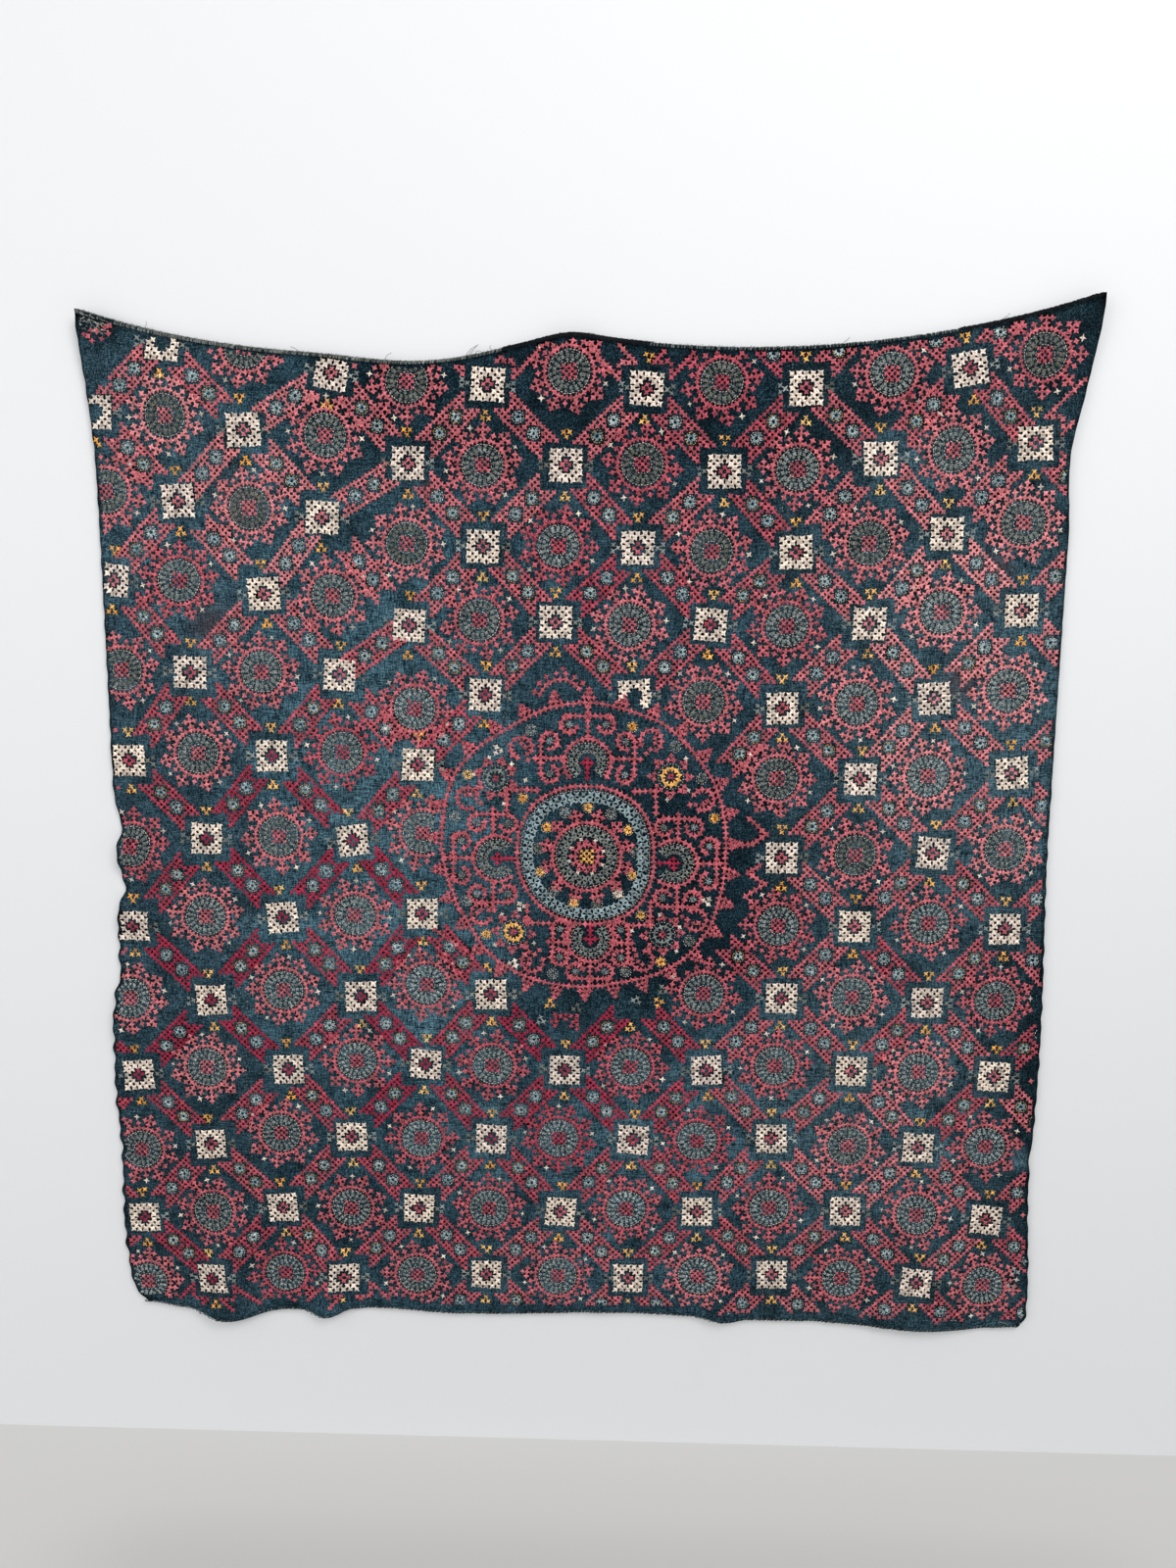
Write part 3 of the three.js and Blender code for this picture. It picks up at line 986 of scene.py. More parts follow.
def sew_horseshoe(middle, turn):
    for radius, size in HORSESHOE_ROWS.items():
        places, angles = circle(middle, radius, HORSESHOE_ROUND, turn + HORSESHOE_START)
        worked = slice(0, HORSESHOE_WORKED)
        sew("medallion_grey", places[worked], angles[worked] + EIGHTH, size, MEDALLION_AGE)
    radius, count, length = HORSESHOE_DASHES
    places, angles = circle(middle, radius, count, turn + DASHES_START)
    run("medallion_dashes", places[:DASHES_WORKED], angles[:DASHES_WORKED] + QUARTER, length)
    sew_arc(middle, HORSESHOE_ARC, turn + ARC_START, math.pi - 2 * ARC_START)


def sew_arm(side):
    turn = side * QUARTER
    middle = arm_place(side, 0, HORSESHOE_OUT)
    sew_horseshoe(middle, turn)
    arm_line(side, *BUD_STEM, BUD_AGE)
    sew_red(at(middle, turn, BUD), turn, BUD_STITCH, BUD_AGE)
    for first, last in TRUNK_LINES:
        arm_line(side, first, last)
    for mirror in (-1, 1):
        for (beside, out), (last_beside, last_out) in SIDE_LINES:
            arm_line(side, (mirror * beside, out), (mirror * last_beside, last_out))
        for hook in ARM_HOOKS:
            sew_hook(side, *hook, mirror)


for side in range(4):
    sew_arm(side)
print("arms:", sum(map(len, stars["medallion_red"])), "red stitches so far")

# %% [markdown]
# Between the arms sit small rosettes, eight curls and four brackets. A curl is an arc that turns inwards
# and comes out again through its own opening. All are placed one by one, as on the cloth.

# %% Medallion diagonals
# Centre of each small rosette, from the middle of the medallion
SMALL_ROSETTES = {"yellow": [(133, 131), (-118, -127)], "grey": [(-147, 125), (124, -127)]}
SMALL_HEART = (3.6, 4, 0.62)
SMALL_HEART_AGE = 0.2
SMALL_RING = (13.2, 11, 0.98)
SMALL_DASHES = (20.2, 27, 2.6)
SMALL_PETALS = (26.5, 8)
SMALL_PETAL = np.array([(0, -4.3), (0, 4.3), (6.6, 0)])
SMALL_STITCH = 0.92
# Centre of each curl and the way it opens, in degrees
CURLS = [(101, 188, 250), (-106, 174, 298), (-192, 92, -20), (-170, -97, 15), (-87, -176, 60),
         (92, -171, 125), (177, -102, 165), (185, 94, 200)]
CURL_RADIUS, CURL_START, CURL_SWEEP = 17.0, 0.85, 4.6
# Stitches inside a curl: degrees from its opening and distance from its centre
CURL_TAIL = [(150, 7), (75, 7), (15, 13.5), (0, 22)]
# Corner of each bracket, and how far its arms run along x and z
BRACKETS = [(110, 107, -34, -34), (-129, 107, 48, -33), (-96, -111, 36, 29), (104, -112, -37, 38)]


def sew_small_rosette(middle, colour):
    start = hand.uniform(0, 1)
    sew_ring("medallion_red", middle, SMALL_HEART, start, EIGHTH, SMALL_HEART_AGE)
    sew_ring(f"medallion_{colour}", middle, SMALL_RING, start)
    run_ring("medallion_dashes", middle, SMALL_DASHES)
    for place, angle in zip(*circle(middle, *SMALL_PETALS, start)):
        sew_red(at(place, angle, SMALL_PETAL), angle, SMALL_STITCH)


def sew_curl(middle, opening):
    sew_arc(middle, CURL_RADIUS, opening + CURL_START, CURL_SWEEP)
    for degrees, reach in CURL_TAIL:
        angle = opening + math.radians(degrees)
        place = middle + reach * np.array([math.cos(angle), math.sin(angle)])
        sew_red(place, angle, SMALL_STITCH)


for colour, places in SMALL_ROSETTES.items():
    for place in places:
        sew_small_rosette(MEDALLION + place, colour)
for x, z, degrees in CURLS:
    sew_curl(MEDALLION + (x, z), math.radians(degrees))
for x, z, along, up in BRACKETS:
    for end in ((x + along, z), (x, z + up)):
        sew_line(MEDALLION + (x, z), MEDALLION + end)
print("diagonals:", sum(map(len, stars["medallion_red"])), "red stitches so far")

# %% [markdown]
# The rim is a line of stitches with little pyramids pointing outwards. An arch stands on its top, and
# zigzags run down its right side and its lower left.

# %% Medallion rim
RIM_COUNT = 170
RIM_STITCH = 1.02
PYRAMIDS, PYRAMID_START, PYRAMID_OUT = 30, 0.1, 8.0
PYRAMID = np.array([(0, -7.4), (0, 0), (0, 7.4), (7.2, -3.7), (7.2, 3.7), (14.2, 0)])
ARCH = MEDALLION + (-43, 249)
ARCH_RADIUS, ARCH_START, ARCH_SWEEP = 35, 0.6, 2.25
ARCH_TEETH, ARCH_TOOTH_REACH = 18, 44.5
ARCH_TOOTH_ANGLES = (0.5, 2.9)
ARCH_TIP = (3, 52)
ZIGZAGS = [[(260, 65), (287, 40), (266, 24), (234, 20)],
           [(278, -10), (260, -23), (287, -41), (257, -61)],
           [(-247, -125), (-196, -160)]]

places, angles = bulging(0, RIM_COUNT, RIM_RADII)
sew_red(places, angles, RIM_STITCH)
for place, angle in zip(*bulging(PYRAMID_OUT, PYRAMIDS, RIM_RADII, PYRAMID_START)):
    sew_red(at(place, angle, PYRAMID), angle, SMALL_STITCH)
sew_arc(ARCH, ARCH_RADIUS, ARCH_START, ARCH_SWEEP)
for place, angle in zip(*circle(ARCH, ARCH_TOOTH_REACH, ARCH_TEETH)):
    if ARCH_TOOTH_ANGLES[0] < angle < ARCH_TOOTH_ANGLES[1]:
        sew_red(place, angle, PETAL_STITCH)
sew_red(ARCH + ARCH_TIP, 0, PETAL_STITCH)
for zigzag in ZIGZAGS:
    for first, last in zip(zigzag, zigzag[1:]):
        sew_line(MEDALLION + first, MEDALLION + last)
print("rim:", sum(map(len, stars["medallion_red"])), "red stitches in the medallion")

# %% [markdown]
# Grey and yellow balls, single cream stitches and cream triads fill the space just inside the rim.

# %% Scattered balls and cream stitches
BALLS = {
    "grey": [(-90, 203), (-213, 62), (140, 179), (182, 128), (-194, -75), (-54, -196), (167, -137),
             (65, -191)],
    "yellow": [(-192, 130), (71, 210), (204, 65), (-163, -131), (122, -173), (-103, 93), (89, -96)],
}
CREAM_STITCHES = [(-157, 158), (-182, 130), (-99, 123), (-122, 148), (-134, 84), (157, 160), (162, 110),
                  (128, 94), (-148, -149), (-137, -98), (-84, -145), (120, -94), (152, -115),
                  (147, -154), (75, -122)]
CREAM_STITCH_SIZE = 0.8
# Place x, z and turn in degrees
CREAM_TRIADS = [(-144, 171, 200), (-118, -178, 160), (195, -72, 20), (-105, -84, 90)]

for colour, balls in BALLS.items():
    for ball in balls:
        sew_ball(colour, MEDALLION + ball)
turns = hand.uniform(0, QUARTER, len(CREAM_STITCHES))
sew("medallion_cream", MEDALLION + CREAM_STITCHES, turns, CREAM_STITCH_SIZE)
for x, z, degrees in CREAM_TRIADS:
    sew_triad("medallion_cream", MEDALLION + (x, z), math.radians(degrees))
print(sum(map(len, BALLS.values())), "balls and", len(CREAM_STITCHES), "cream stitches")

# %% [markdown]
# ## Trim the stitching to the cloth
# The lattice runs past the edges, so stitches that fall outside the cloth, on its rolled hems, on the
# bare strip above the bottom hem, on a bare spot or inside the medallion are taken out of the basket. No
# two stitches made by hand are alike, so each one that is left gets a nudge.

# %% Trim and nudge
EDGE_MARGIN = 5.6
HEM_MARGIN = 9.0
BARE_STRIP = 16.0
# Place x, z and reach of spots that were left without stitches
BARE_SPOTS = [(-728, -62, 16)]
NUDGE = 0.4
NUDGE_TURN = math.radians(6)
NUDGE_SIZE = 0.08


def trimmed(piece, rows):
    rows = np.concatenate(rows)
    across, down = lay_flat(rows[:, 0], rows[:, 1])
    keep = (across > EDGE_MARGIN) & (across < CLOTH_WIDTH - EDGE_MARGIN)
    keep &= (down > HEM_MARGIN) & (down < DROP - BARE_STRIP)
    if not piece.startswith("medallion"):
        off_x, off_z = (rows[:, :2] - MEDALLION).T
        rim = round_trip(np.arctan2(off_z, off_x), RIM_RADII)
        keep &= np.hypot(off_x, off_z) > rim + FIELD_CLEARANCE
    for x, z, reach in BARE_SPOTS:
        keep &= np.hypot(rows[:, 0] - x, rows[:, 1] - z) > reach
    rows = rows[keep]
    rows[:, :2] += hand.normal(0, NUDGE, (len(rows), 2))
    rows[:, 2] += hand.normal(0, NUDGE_TURN, len(rows))
    rows[:, 3] *= hand.normal(1, NUDGE_SIZE, len(rows))
    return rows


stars = {piece: trimmed(piece, rows) for piece, rows in stars.items()}
runs = {piece: trimmed(piece, rows) for piece, rows in runs.items()}
print(sum(map(len, stars.values())), "stars and", sum(map(len, runs.values())), "runs on the cloth")

# %% [markdown]
# ## Seams
# The loom widths are joined by hand, and the joins show as fine upright lines of pale running stitch.

# %% Seam stitches
SEAM_STITCH_PITCH = 6.4
SEAM_END = 14
SEAM_SLIP = 0.5
SEAM_TURN_SLIP = 0.1
SEAM_LENGTHS = (2.6, 4.4)


def run_seam(across):
    down = np.arange(SEAM_END, DROP - SEAM_END, SEAM_STITCH_PITCH)
    count = len(down)
    x, z = hang(np.full_like(down, across), down)
    places = np.column_stack([x, z]) + hand.normal(0, SEAM_SLIP, (count, 2))
    turns = hand.normal(QUARTER, SEAM_TURN_SLIP, count)
    lengths = hand.uniform(*SEAM_LENGTHS, count)
    ages = hand.uniform(0, 1, count)
    return np.column_stack([places, turns, lengths, ages])


seam_lines = np.cumsum(list(LOOM_WIDTHS.values()))[:-1]
runs["seam_stitches"] = np.concatenate([run_seam(across) for across in seam_lines])
print("seams at", seam_lines, "mm across")

# %% [markdown]
# ## Thread
# A material is a tree of nodes, and the same few kinds of node come again and again. Each helper adds a
# node or two, sets the values and gives back the output. Thread and cotton are both dyed, so both have a
# node group that takes a deep and a faded dye, and gives a colour and a height for the bump.

# %% Node helpers
def dye_group(name):
    """A new group with the sockets of its dyes, of what it makes, and of the place on the object."""
    group = bpy.data.node_groups.new(name, "ShaderNodeTree")
    for dye in ("Deep", "Faded"):
        group.interface.new_socket(dye, in_out="INPUT", socket_type="NodeSocketColor")
    group.interface.new_socket("Color", in_out="OUTPUT", socket_type="NodeSocketColor")
    group.interface.new_socket("Height", in_out="OUTPUT", socket_type="NodeSocketFloat")
    dyes = group.nodes.new("NodeGroupInput").outputs
    made = group.nodes.new("NodeGroupOutput").inputs
    return group, dyes, made, group.nodes.new("ShaderNodeTexCoord").outputs["Object"]


def attribute(tree, name):
    node = tree.nodes.new("ShaderNodeAttribute")
    node.attribute_name = name
    return node.outputs["Fac"]


def mixed(tree, kind, factor, first, second):
    """A colour mix. Factor, first and second are sockets or plain values."""
    node = tree.nodes.new("ShaderNodeMix")
    node.data_type = "RGBA"
    node.blend_type = kind
    # A mix node has sockets for every kind of data. These are the factor and the two colours
    for socket, value in zip((0, 6, 7), (factor, first, second)):
        if isinstance(value, bpy.types.NodeSocket):
            tree.links.new(value, node.inputs[socket])
        else:
            node.inputs[socket].default_value = value
    return node.outputs[2]


def blend(tree, factor, first, second):
    return mixed(tree, "MIX", factor, first, second)


def times(tree, colour, factor):
    return mixed(tree, "MULTIPLY", 1.0, colour, factor)


def noise(tree, vector, scale, detail, stretch=(1, 1, 1)):
    mapping = tree.nodes.new("ShaderNodeMapping")
    mapping.inputs["Scale"].default_value = stretch
    tree.links.new(vector, mapping.inputs["Vector"])
    node = tree.nodes.new("ShaderNodeTexNoise")
    node.inputs["Scale"].default_value = scale
    node.inputs["Detail"].default_value = detail
    tree.links.new(mapping.outputs[0], node.inputs["Vector"])
    return node.outputs["Fac"]


def levels(tree, value, low, high, new_low, new_high):
    """Stretch a value from one range to another."""
    node = tree.nodes.new("ShaderNodeMapRange")
    # The value is socket 0, and its old and new limits come next
    for socket, number in zip((1, 2, 3, 4), (low, high, new_low, new_high)):
        node.inputs[socket].default_value = number
    tree.links.new(value, node.inputs[0])
    return node.outputs[0]


thread_group, dyes, made, place = dye_group("spun cotton thread")
print("the thread group takes", ", ".join(dyes.keys()[:2]))

# %% [markdown]
# All the thread is loosely spun cotton. What every colour shares is the mix from deep to faded dye, a light
# and dark shift from stitch to stitch, a painted highlight and shade on each star, the light and dark
# strands, and the fine ridges of the fibres.

# %% Thread node group
FIBRE_SCALE, FIBRE_DETAIL = 900, 3
STRAND_SCALE, STRAND_DETAIL = 330, 2
# Range of a value, and the range that it is stretched to
TONE_AND_HIGHLIGHT_LEVELS = (-0.2, 1.2, 0.36, 1.3)
STRAND_LEVELS = (0.34, 0.66, 0.55, 1.5)

fibres = noise(thread_group, place, FIBRE_SCALE, FIBRE_DETAIL)
strands = noise(thread_group, place, STRAND_SCALE, STRAND_DETAIL)
dye = blend(thread_group, attribute(thread_group, "age"), dyes["Deep"], dyes["Faded"])
# The tone brings a random shift for each stitch and the painted highlight and shade of the star
dye = times(thread_group, dye, levels(thread_group, attribute(thread_group, "tone_and_highlight"), *TONE_AND_HIGHLIGHT_LEVELS))
dye = times(thread_group, dye, levels(thread_group, strands, *STRAND_LEVELS))
thread_group.links.new(dye, made["Color"])
thread_group.links.new(fibres, made["Height"])
print("thread group has", len(thread_group.nodes), "nodes")

# %% [markdown]
# Each colour of thread is a material with its own deep and faded dye. Thread is matt, with a soft sheen
# at grazing angles from its loose fibres.

# %% Thread materials
THREADS = {
    "red": ((0.395, 0.027, 0.066, 1), (0.82, 0.30, 0.305, 1)),
    "cream": ((0.88, 0.74, 0.61, 1), (0.82, 0.69, 0.60, 1)),
    "grey": ((0.165, 0.17, 0.145, 1), (0.34, 0.385, 0.38, 1)),
    "blue": ((0.26, 0.36, 0.395, 1), (0.41, 0.495, 0.495, 1)),
    "yellow": ((0.92, 0.40, 0.07, 1), (0.94, 0.57, 0.2, 1)),
    "dark": ((0.004, 0.006, 0.009, 1), (0.014, 0.018, 0.022, 1)),
}
SHEEN_ROUGHNESS = 0.5
# Roughness, sheen and gloss, then the depth in millimetres and the strength of the bump
THREAD_FINISH = (0.78, 0.06, 0.12, 0.3, 0.5)


def dyed_cotton(name, group, deep, faded_dye, finish):
    roughness, sheen, gloss, depth, strength = finish
    material = bpy.data.materials.new(name)
    material.use_nodes = True
    tree = material.node_tree
    shader = tree.nodes["Principled BSDF"]
    shader.inputs["Roughness"].default_value = roughness
    shader.inputs["Specular IOR Level"].default_value = gloss
    shader.inputs["Sheen Weight"].default_value = sheen
    shader.inputs["Sheen Roughness"].default_value = SHEEN_ROUGHNESS
    dyed = tree.nodes.new("ShaderNodeGroup")
    dyed.node_tree = group
    dyed.inputs["Deep"].default_value = deep
    dyed.inputs["Faded"].default_value = faded_dye
    tree.links.new(dyed.outputs["Color"], shader.inputs["Base Color"])
    ridges = tree.nodes.new("ShaderNodeBump")
    ridges.inputs["Strength"].default_value = strength
    ridges.inputs["Distance"].default_value = depth * MM
    tree.links.new(dyed.outputs["Height"], ridges.inputs["Height"])
    tree.links.new(ridges.outputs[0], shader.inputs["Normal"])
    return material


thread_materials = {}
for colour, pair in THREADS.items():
    thread_materials[colour] = dyed_cotton(f"{colour} thread", thread_group, *pair, THREAD_FINISH)
print("threads:", ", ".join(thread_materials))

# %% [markdown]
# ## One stitch
# The star is a ring of eight points, one at the tip of each arm and one in each notch between arms. Its
# front and back faces are poked: the front rises to a low crown, and the back runs through the cloth to a
# point, so that a smaller star shows on the wrong side, as real stitches do. Close work has full stars,
# whose arms cross those of the next star. Single stitches, and the blue and grey rings of the medallion,
# are more open.

# %% Star and run templates
# Reach of the tips and of the notches
FULL_STAR_REACH = (5.75, 2.75)
OPEN_STAR_REACH = (5.9, 2.1)
TIP_HEIGHT = 0.55
NOTCH_HEIGHT = 0.3
STAR_CROWN = 1.6
# Painted light on a star: painted shade in its middle, and a painted highlight in its notches and at its
# tips
STAR_PAINTED_LIGHT = [-0.1, 0.12, 0.2]
# Half the width and half the length of a run
RUN_HALVES = (0.5, 0.55)
RUN_CROWN = 1.1
RUN_PAINTED_LIGHT = ([0, 1], [0, 0])
ROOT_BEHIND = 0.7
# Points that are closer than this, in millimetres, are merged
MERGE_DISTANCE = 1e-4


def as_arrays(bm):
    """The points and the faces of a mesh as arrays, ready to be copied many times."""
    bm.verts.index_update()
    points = np.array([vert.co[:] for vert in bm.verts])
    faces = np.array([[vert.index for vert in face.verts] for face in bm.faces])
    bm.free()
    return points, faces


def poked_template(outline, crown, painted_light):
    """A closed stitch from an outline: a raised front and a root behind the cloth.

    Painted light gives distances from the middle and the painted highlight there; below 0 it is painted
    shade.
    """
    bm = bmesh.new()
    bmesh.ops.create_circle(bm, cap_ends=True, segments=len(outline), radius=1)
    for vert, place in zip(bm.verts, outline):
        vert.co = place
    front = list(bm.faces)
    copied = bmesh.ops.duplicate(bm, geom=front)["geom"]
    back = [part for part in copied if isinstance(part, bmesh.types.BMFace)]
    bmesh.ops.reverse_faces(bm, faces=back)
    for face, height in ((front, crown), (back, -CLOTH_THICKNESS - ROOT_BEHIND)):
        middle = bmesh.ops.poke(bm, faces=face)["verts"][0]
        middle.co = (0, 0, height)
    bmesh.ops.remove_doubles(bm, verts=bm.verts, dist=MERGE_DISTANCE)
    bmesh.ops.recalc_face_normals(bm, faces=bm.faces)
    points, faces = as_arrays(bm)
    return points, faces, np.interp(np.hypot(points[:, 0], points[:, 1]), *painted_light)


def ray(radius, angle, height):
    return (-radius * math.sin(angle), radius * math.cos(angle), height)


def star(tip, notch):
    outline = []
    for arm in range(4):
        outline.append(ray(tip, arm * QUARTER, TIP_HEIGHT))
        outline.append(ray(notch, arm * QUARTER + EIGHTH, NOTCH_HEIGHT))
    return poked_template(outline, STAR_CROWN, ([0, notch, tip], STAR_PAINTED_LIGHT))


FULL_STAR = star(*FULL_STAR_REACH)
OPEN_STAR = star(*OPEN_STAR_REACH)
run_outline = [ray(RUN_HALVES[step % 2], step * QUARTER, TIP_HEIGHT) for step in range(1, 5)]
RUN = poked_template(run_outline, RUN_CROWN, RUN_PAINTED_LIGHT)
print("a star has", len(FULL_STAR[1]), "faces and a run has", len(RUN[1]))

# %% [markdown]
# The templates are copied to every row of the basket with array arithmetic, and each point is pressed
# onto the hanging cloth, so stitches follow the folds. Two attributes go with the points, the age of the
# thread and its tone with the painted highlight and shade of the star, and the material reads them.

# %% Joined stitch meshes
def new_piece(name, mesh, material):
    mesh.materials.append(material)
    piece = bpy.data.objects.new(name, mesh)
    scene.collection.objects.link(piece)
    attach(piece, "root")
    return piece


def point_values(mesh, name, values):
    mesh.attributes.new(name, "FLOAT", "POINT").data.foreach_set("value", values.astype(np.float32))


def joined_piece(name, x, y, z, faces, ages, tones_and_highlights, colour):
    """Many copies of a template as one piece. Each row of x, y and z has the points of one copy."""
    places = np.stack([x, y, z], axis=2).reshape(-1, 3) * MM
    copies = np.arange(len(x))[:, None, None] * x.shape[1] + faces
    mesh = bpy.data.meshes.new(name)
    mesh.from_pydata(places.tolist(), [], copies.reshape(-1, faces.shape[1]).tolist())
    point_values(mesh, "age", np.broadcast_to(ages, x.shape).ravel())
    point_values(mesh, "tone_and_highlight", np.broadcast_to(tones_and_highlights, x.shape).ravel())
    new_piece(name, mesh, thread_materials[colour])
    print(name, len(x), "copies,", len(mesh.polygons), "faces")


stitch_count = sum(map(len, [*stars.values(), *runs.values()]))
print(stitch_count, "stitches are ready to be laid")

# %% [markdown]
# Each star and each run now takes its row from the basket. Pieces are named after their colour, apart from
# the cream dashes and the grey seams.

# %% Lay the stitches
COLOUR_OF = {"dashes": "cream", "stitches": "grey"}
OPEN_PIECES = ("rosettes_cream", "triads_grey", "triads_yellow", "medallion_blue", "medallion_grey")
RUN_WIDTH = 1.3
ARM_SLIP = 0.09
# Shape of the spread of light and dark from stitch to stitch
TONE_SPREAD = (2, 2)


def uneven(size):
    """The two arms of a star are never quite the same length."""
    longer = hand.normal(0, ARM_SLIP, size.shape)
    return size * (1 + longer), size * (1 - longer)


def straight(length):
    return length, np.full_like(length, RUN_WIDTH)


def lay_stitches(name, rows, template, scale):
    """Scale gives the size of a stitch along and across it, from its row."""
    points, faces, painted_light = template
    x, z, turn, size, age = np.hsplit(rows, 5)
    wide, long = scale(size)
    c, s = np.cos(turn), np.sin(turn)
    along, beside = points[:, 0] * wide, points[:, 1] * long
    x = x + along * c - beside * s
    z = z + along * s + beside * c
    y = -relief(x, z) - CLOTH_THICKNESS / 2 - points[:, 2]
    # A random tone for each stitch, plus the painted highlight and shade of its template
    tones_and_highlights = hand.beta(*TONE_SPREAD, (len(rows), 1)) + painted_light
    last_word = name.rsplit("_", 1)[1]
    joined_piece(name, x, y, z, faces, age, tones_and_highlights, COLOUR_OF.get(last_word, last_word))


for name, rows in stars.items():
    lay_stitches(name, rows, OPEN_STAR if name in OPEN_PIECES else FULL_STAR, uneven)
for name, rows in runs.items():
    lay_stitches(name, rows, RUN, straight)
print(len(stars) + len(runs), "pieces of stitching")

# %% [markdown]
# ## Cotton
# The ground is plain weave. Indigo fades where it is bare. Three attributes on the points of the cloth say
# how faded and how stained each place is, and how much painted shade it gets for the shadows between thick
# stitching, under the hems and along the side edges. Fading and stains are soft spots, given one by one.

# %% Fading and stains
# Place x, z, reach x, z, and the amount of fading, or of keeping where it is negative
FADES = [
    (-300, -780, 340, 460, 0.6),
    (-300, -460, 200, 240, 0.14),
    (-215, -1090, 140, 110, 0.5),
    (500, -180, 120, 90, 0.45),
    (-200, -835, 110, 90, -0.25),
    (-500, -1130, 220, 150, 0.1),
    (-620, -330, 300, 400, 0.25),
    (660, -620, 300, 420, 0.5),
    (20, -1290, 430, 170, 0.4),
    (440, -1200, 540, 330, 0.4),
    (40, -1500, 220, 150, 0.2),
    (140, -880, 300, 330, -0.5),
    (-150, -70, 420, 190, -0.55),
    (-400, -1430, 460, 180, -0.12),
    (770, -1180, 170, 420, -0.35),
    (330, -110, 400, 240, -0.36),
    (740, -20, 140, 160, -0.25),
    (-640, -1250, 240, 300, -0.06),
    # This spot darkens the cloth down the right edge
    (790, -800, 50, 1100, -0.4),
    (-620, -1560, 260, 130, -0.04),
    (-735, 15, 60, 40, -0.4),
    (752, -1306, 18, 30, 1.7),
    (785, 45, 32, 45, -0.8),
]
BASE_FADE = 0.26
# Place x, z, reach and strength of each stain
STAINS = [
    (-222, -228, 16, 0.9),
    (508, -90, 12, 0.8),
    (655, -340, 40, 0.5),
    # This mark darkens the cloth beside the turned flap at the right edge
    (744, -1282, 15, 0.9),
    (610, -520, 46, 0.45),
    (-520, -250, 60, 0.4),
    (-570, -440, 55, 0.4),
]


def faded(x, z):
    fade = np.full_like(x, BASE_FADE)
    for *spot, amount in FADES:
        fade = fade + amount * bump(x, z, *spot)
    return np.clip(fade, 0, 1)


def stained(x, z):
    spots = [amount * swell(np.hypot(x - at_x, z - at_z), reach) for at_x, at_z, reach, amount in STAINS]
    return np.clip(sum(spots), 0, 1)


print("fading at the middle hold", faded(np.zeros(1), np.zeros(1)).round(2))

# %% [markdown]
# The cloth gets painted shade where it is thickly stitched, for the shadows between the stitches. The
# stars are counted in the cells of a grid, and the counts are blurred both ways. Hems and side edges get
# a little painted shade too.

# %% Painted shade
# Reach and strength of the painted shade along the hems and the side edges
HEM_SHADE_REACH, HEM_SHADE = 24.0, 0.4
SIDE_SHADE_REACH, SIDE_SHADE = 12.0, 0.5
GRID_ACROSS = (-800, 820)
GRID_UP = (-1660, 90)
DENSITY_CELL = 3.0
DENSITY_BLUR = 4.5
BLUR_REACH = 24
# Stars this far apart cover the cloth
FULL_COVER_PITCH = 6.6


def painted_shade_map():
    """How thickly each place is stitched, from 0 to 1, on a grid of cells."""
    rows = np.concatenate(list(stars.values()))
    edges = [np.arange(*limits, DENSITY_CELL) for limits in (GRID_ACROSS, GRID_UP)]
    counts = np.histogram2d(rows[:, 0], rows[:, 1], bins=edges, weights=rows[:, 3] ** 2)[0]
    steps = np.arange(-BLUR_REACH, BLUR_REACH + 1, DENSITY_CELL)
    kernel = np.exp(-((steps / DENSITY_BLUR) ** 2) / 2)
    kernel /= kernel.sum()
    for axis in (0, 1):
        counts = np.apply_along_axis(np.convolve, axis, counts, kernel, mode="same")
    return edges, counts * FULL_COVER_PITCH ** 2 / DENSITY_CELL ** 2


def cell_number(value, edges):
    return np.clip(((value - edges[0]) / DENSITY_CELL).astype(int), 0, len(edges) - 2)


# Painted shade of each point, from 0 to 1: thick stitching, the hems and the side edges darken the cloth
def painted_shade_amount(x, z, shelter):
    (edges_x, edges_z), density = shelter
    across, down = lay_flat(x, z)
    hems = swell(down, HEM_SHADE_REACH) + swell(DROP - down, HEM_SHADE_REACH)
    sides = swell(across, SIDE_SHADE_REACH) + swell(CLOTH_WIDTH - across, SIDE_SHADE_REACH)
    stitched = density[cell_number(x, edges_x), cell_number(z, edges_z)]
    return np.clip(stitched + HEM_SHADE * hems + SIDE_SHADE * sides, 0, 1)


shelter = painted_shade_map()
print("densest stitching", round(float(shelter[1].max()), 2))

# %% [markdown]
# The weave is two stretched noises, one for the upright warp and one for the weft. Hand-spun yarn is
# uneven, so their sum makes streaks of deep and faded blue both ways, and the bump. Worn specks, cloudy
# patches, dark slubs of the yarn and a fine grain come on top. Then the dye that was kept, the painted
# shade of the thick stitching, hems and side edges, and the stains are read from the points. Each loom
# width came from its own dye bath.

# %% Cotton material
INDIGO = {
    "width_1": ((0.005, 0.020, 0.032, 1), (0.105, 0.19, 0.235, 1)),
    "width_2": ((0.005, 0.021, 0.034, 1), (0.105, 0.205, 0.255, 1)),
    "width_3": ((0.004, 0.018, 0.030, 1), (0.095, 0.18, 0.225, 1)),
    "width_4": ((0.005, 0.020, 0.031, 1), (0.105, 0.185, 0.225, 1)),
}
COTTON_FINISH = (0.9, 0.0, 0.03, 0.4, 0.6)
STAIN_COLOUR = (0.075, 0.03, 0.03, 1)
YARN_SCALE, YARN_DETAIL, YARN_STRETCH = 800, 3, 0.1
SPECK_SCALE, SPECK_DETAIL = 430, 2
PATCH_SCALE, PATCH_DETAIL = 22, 4
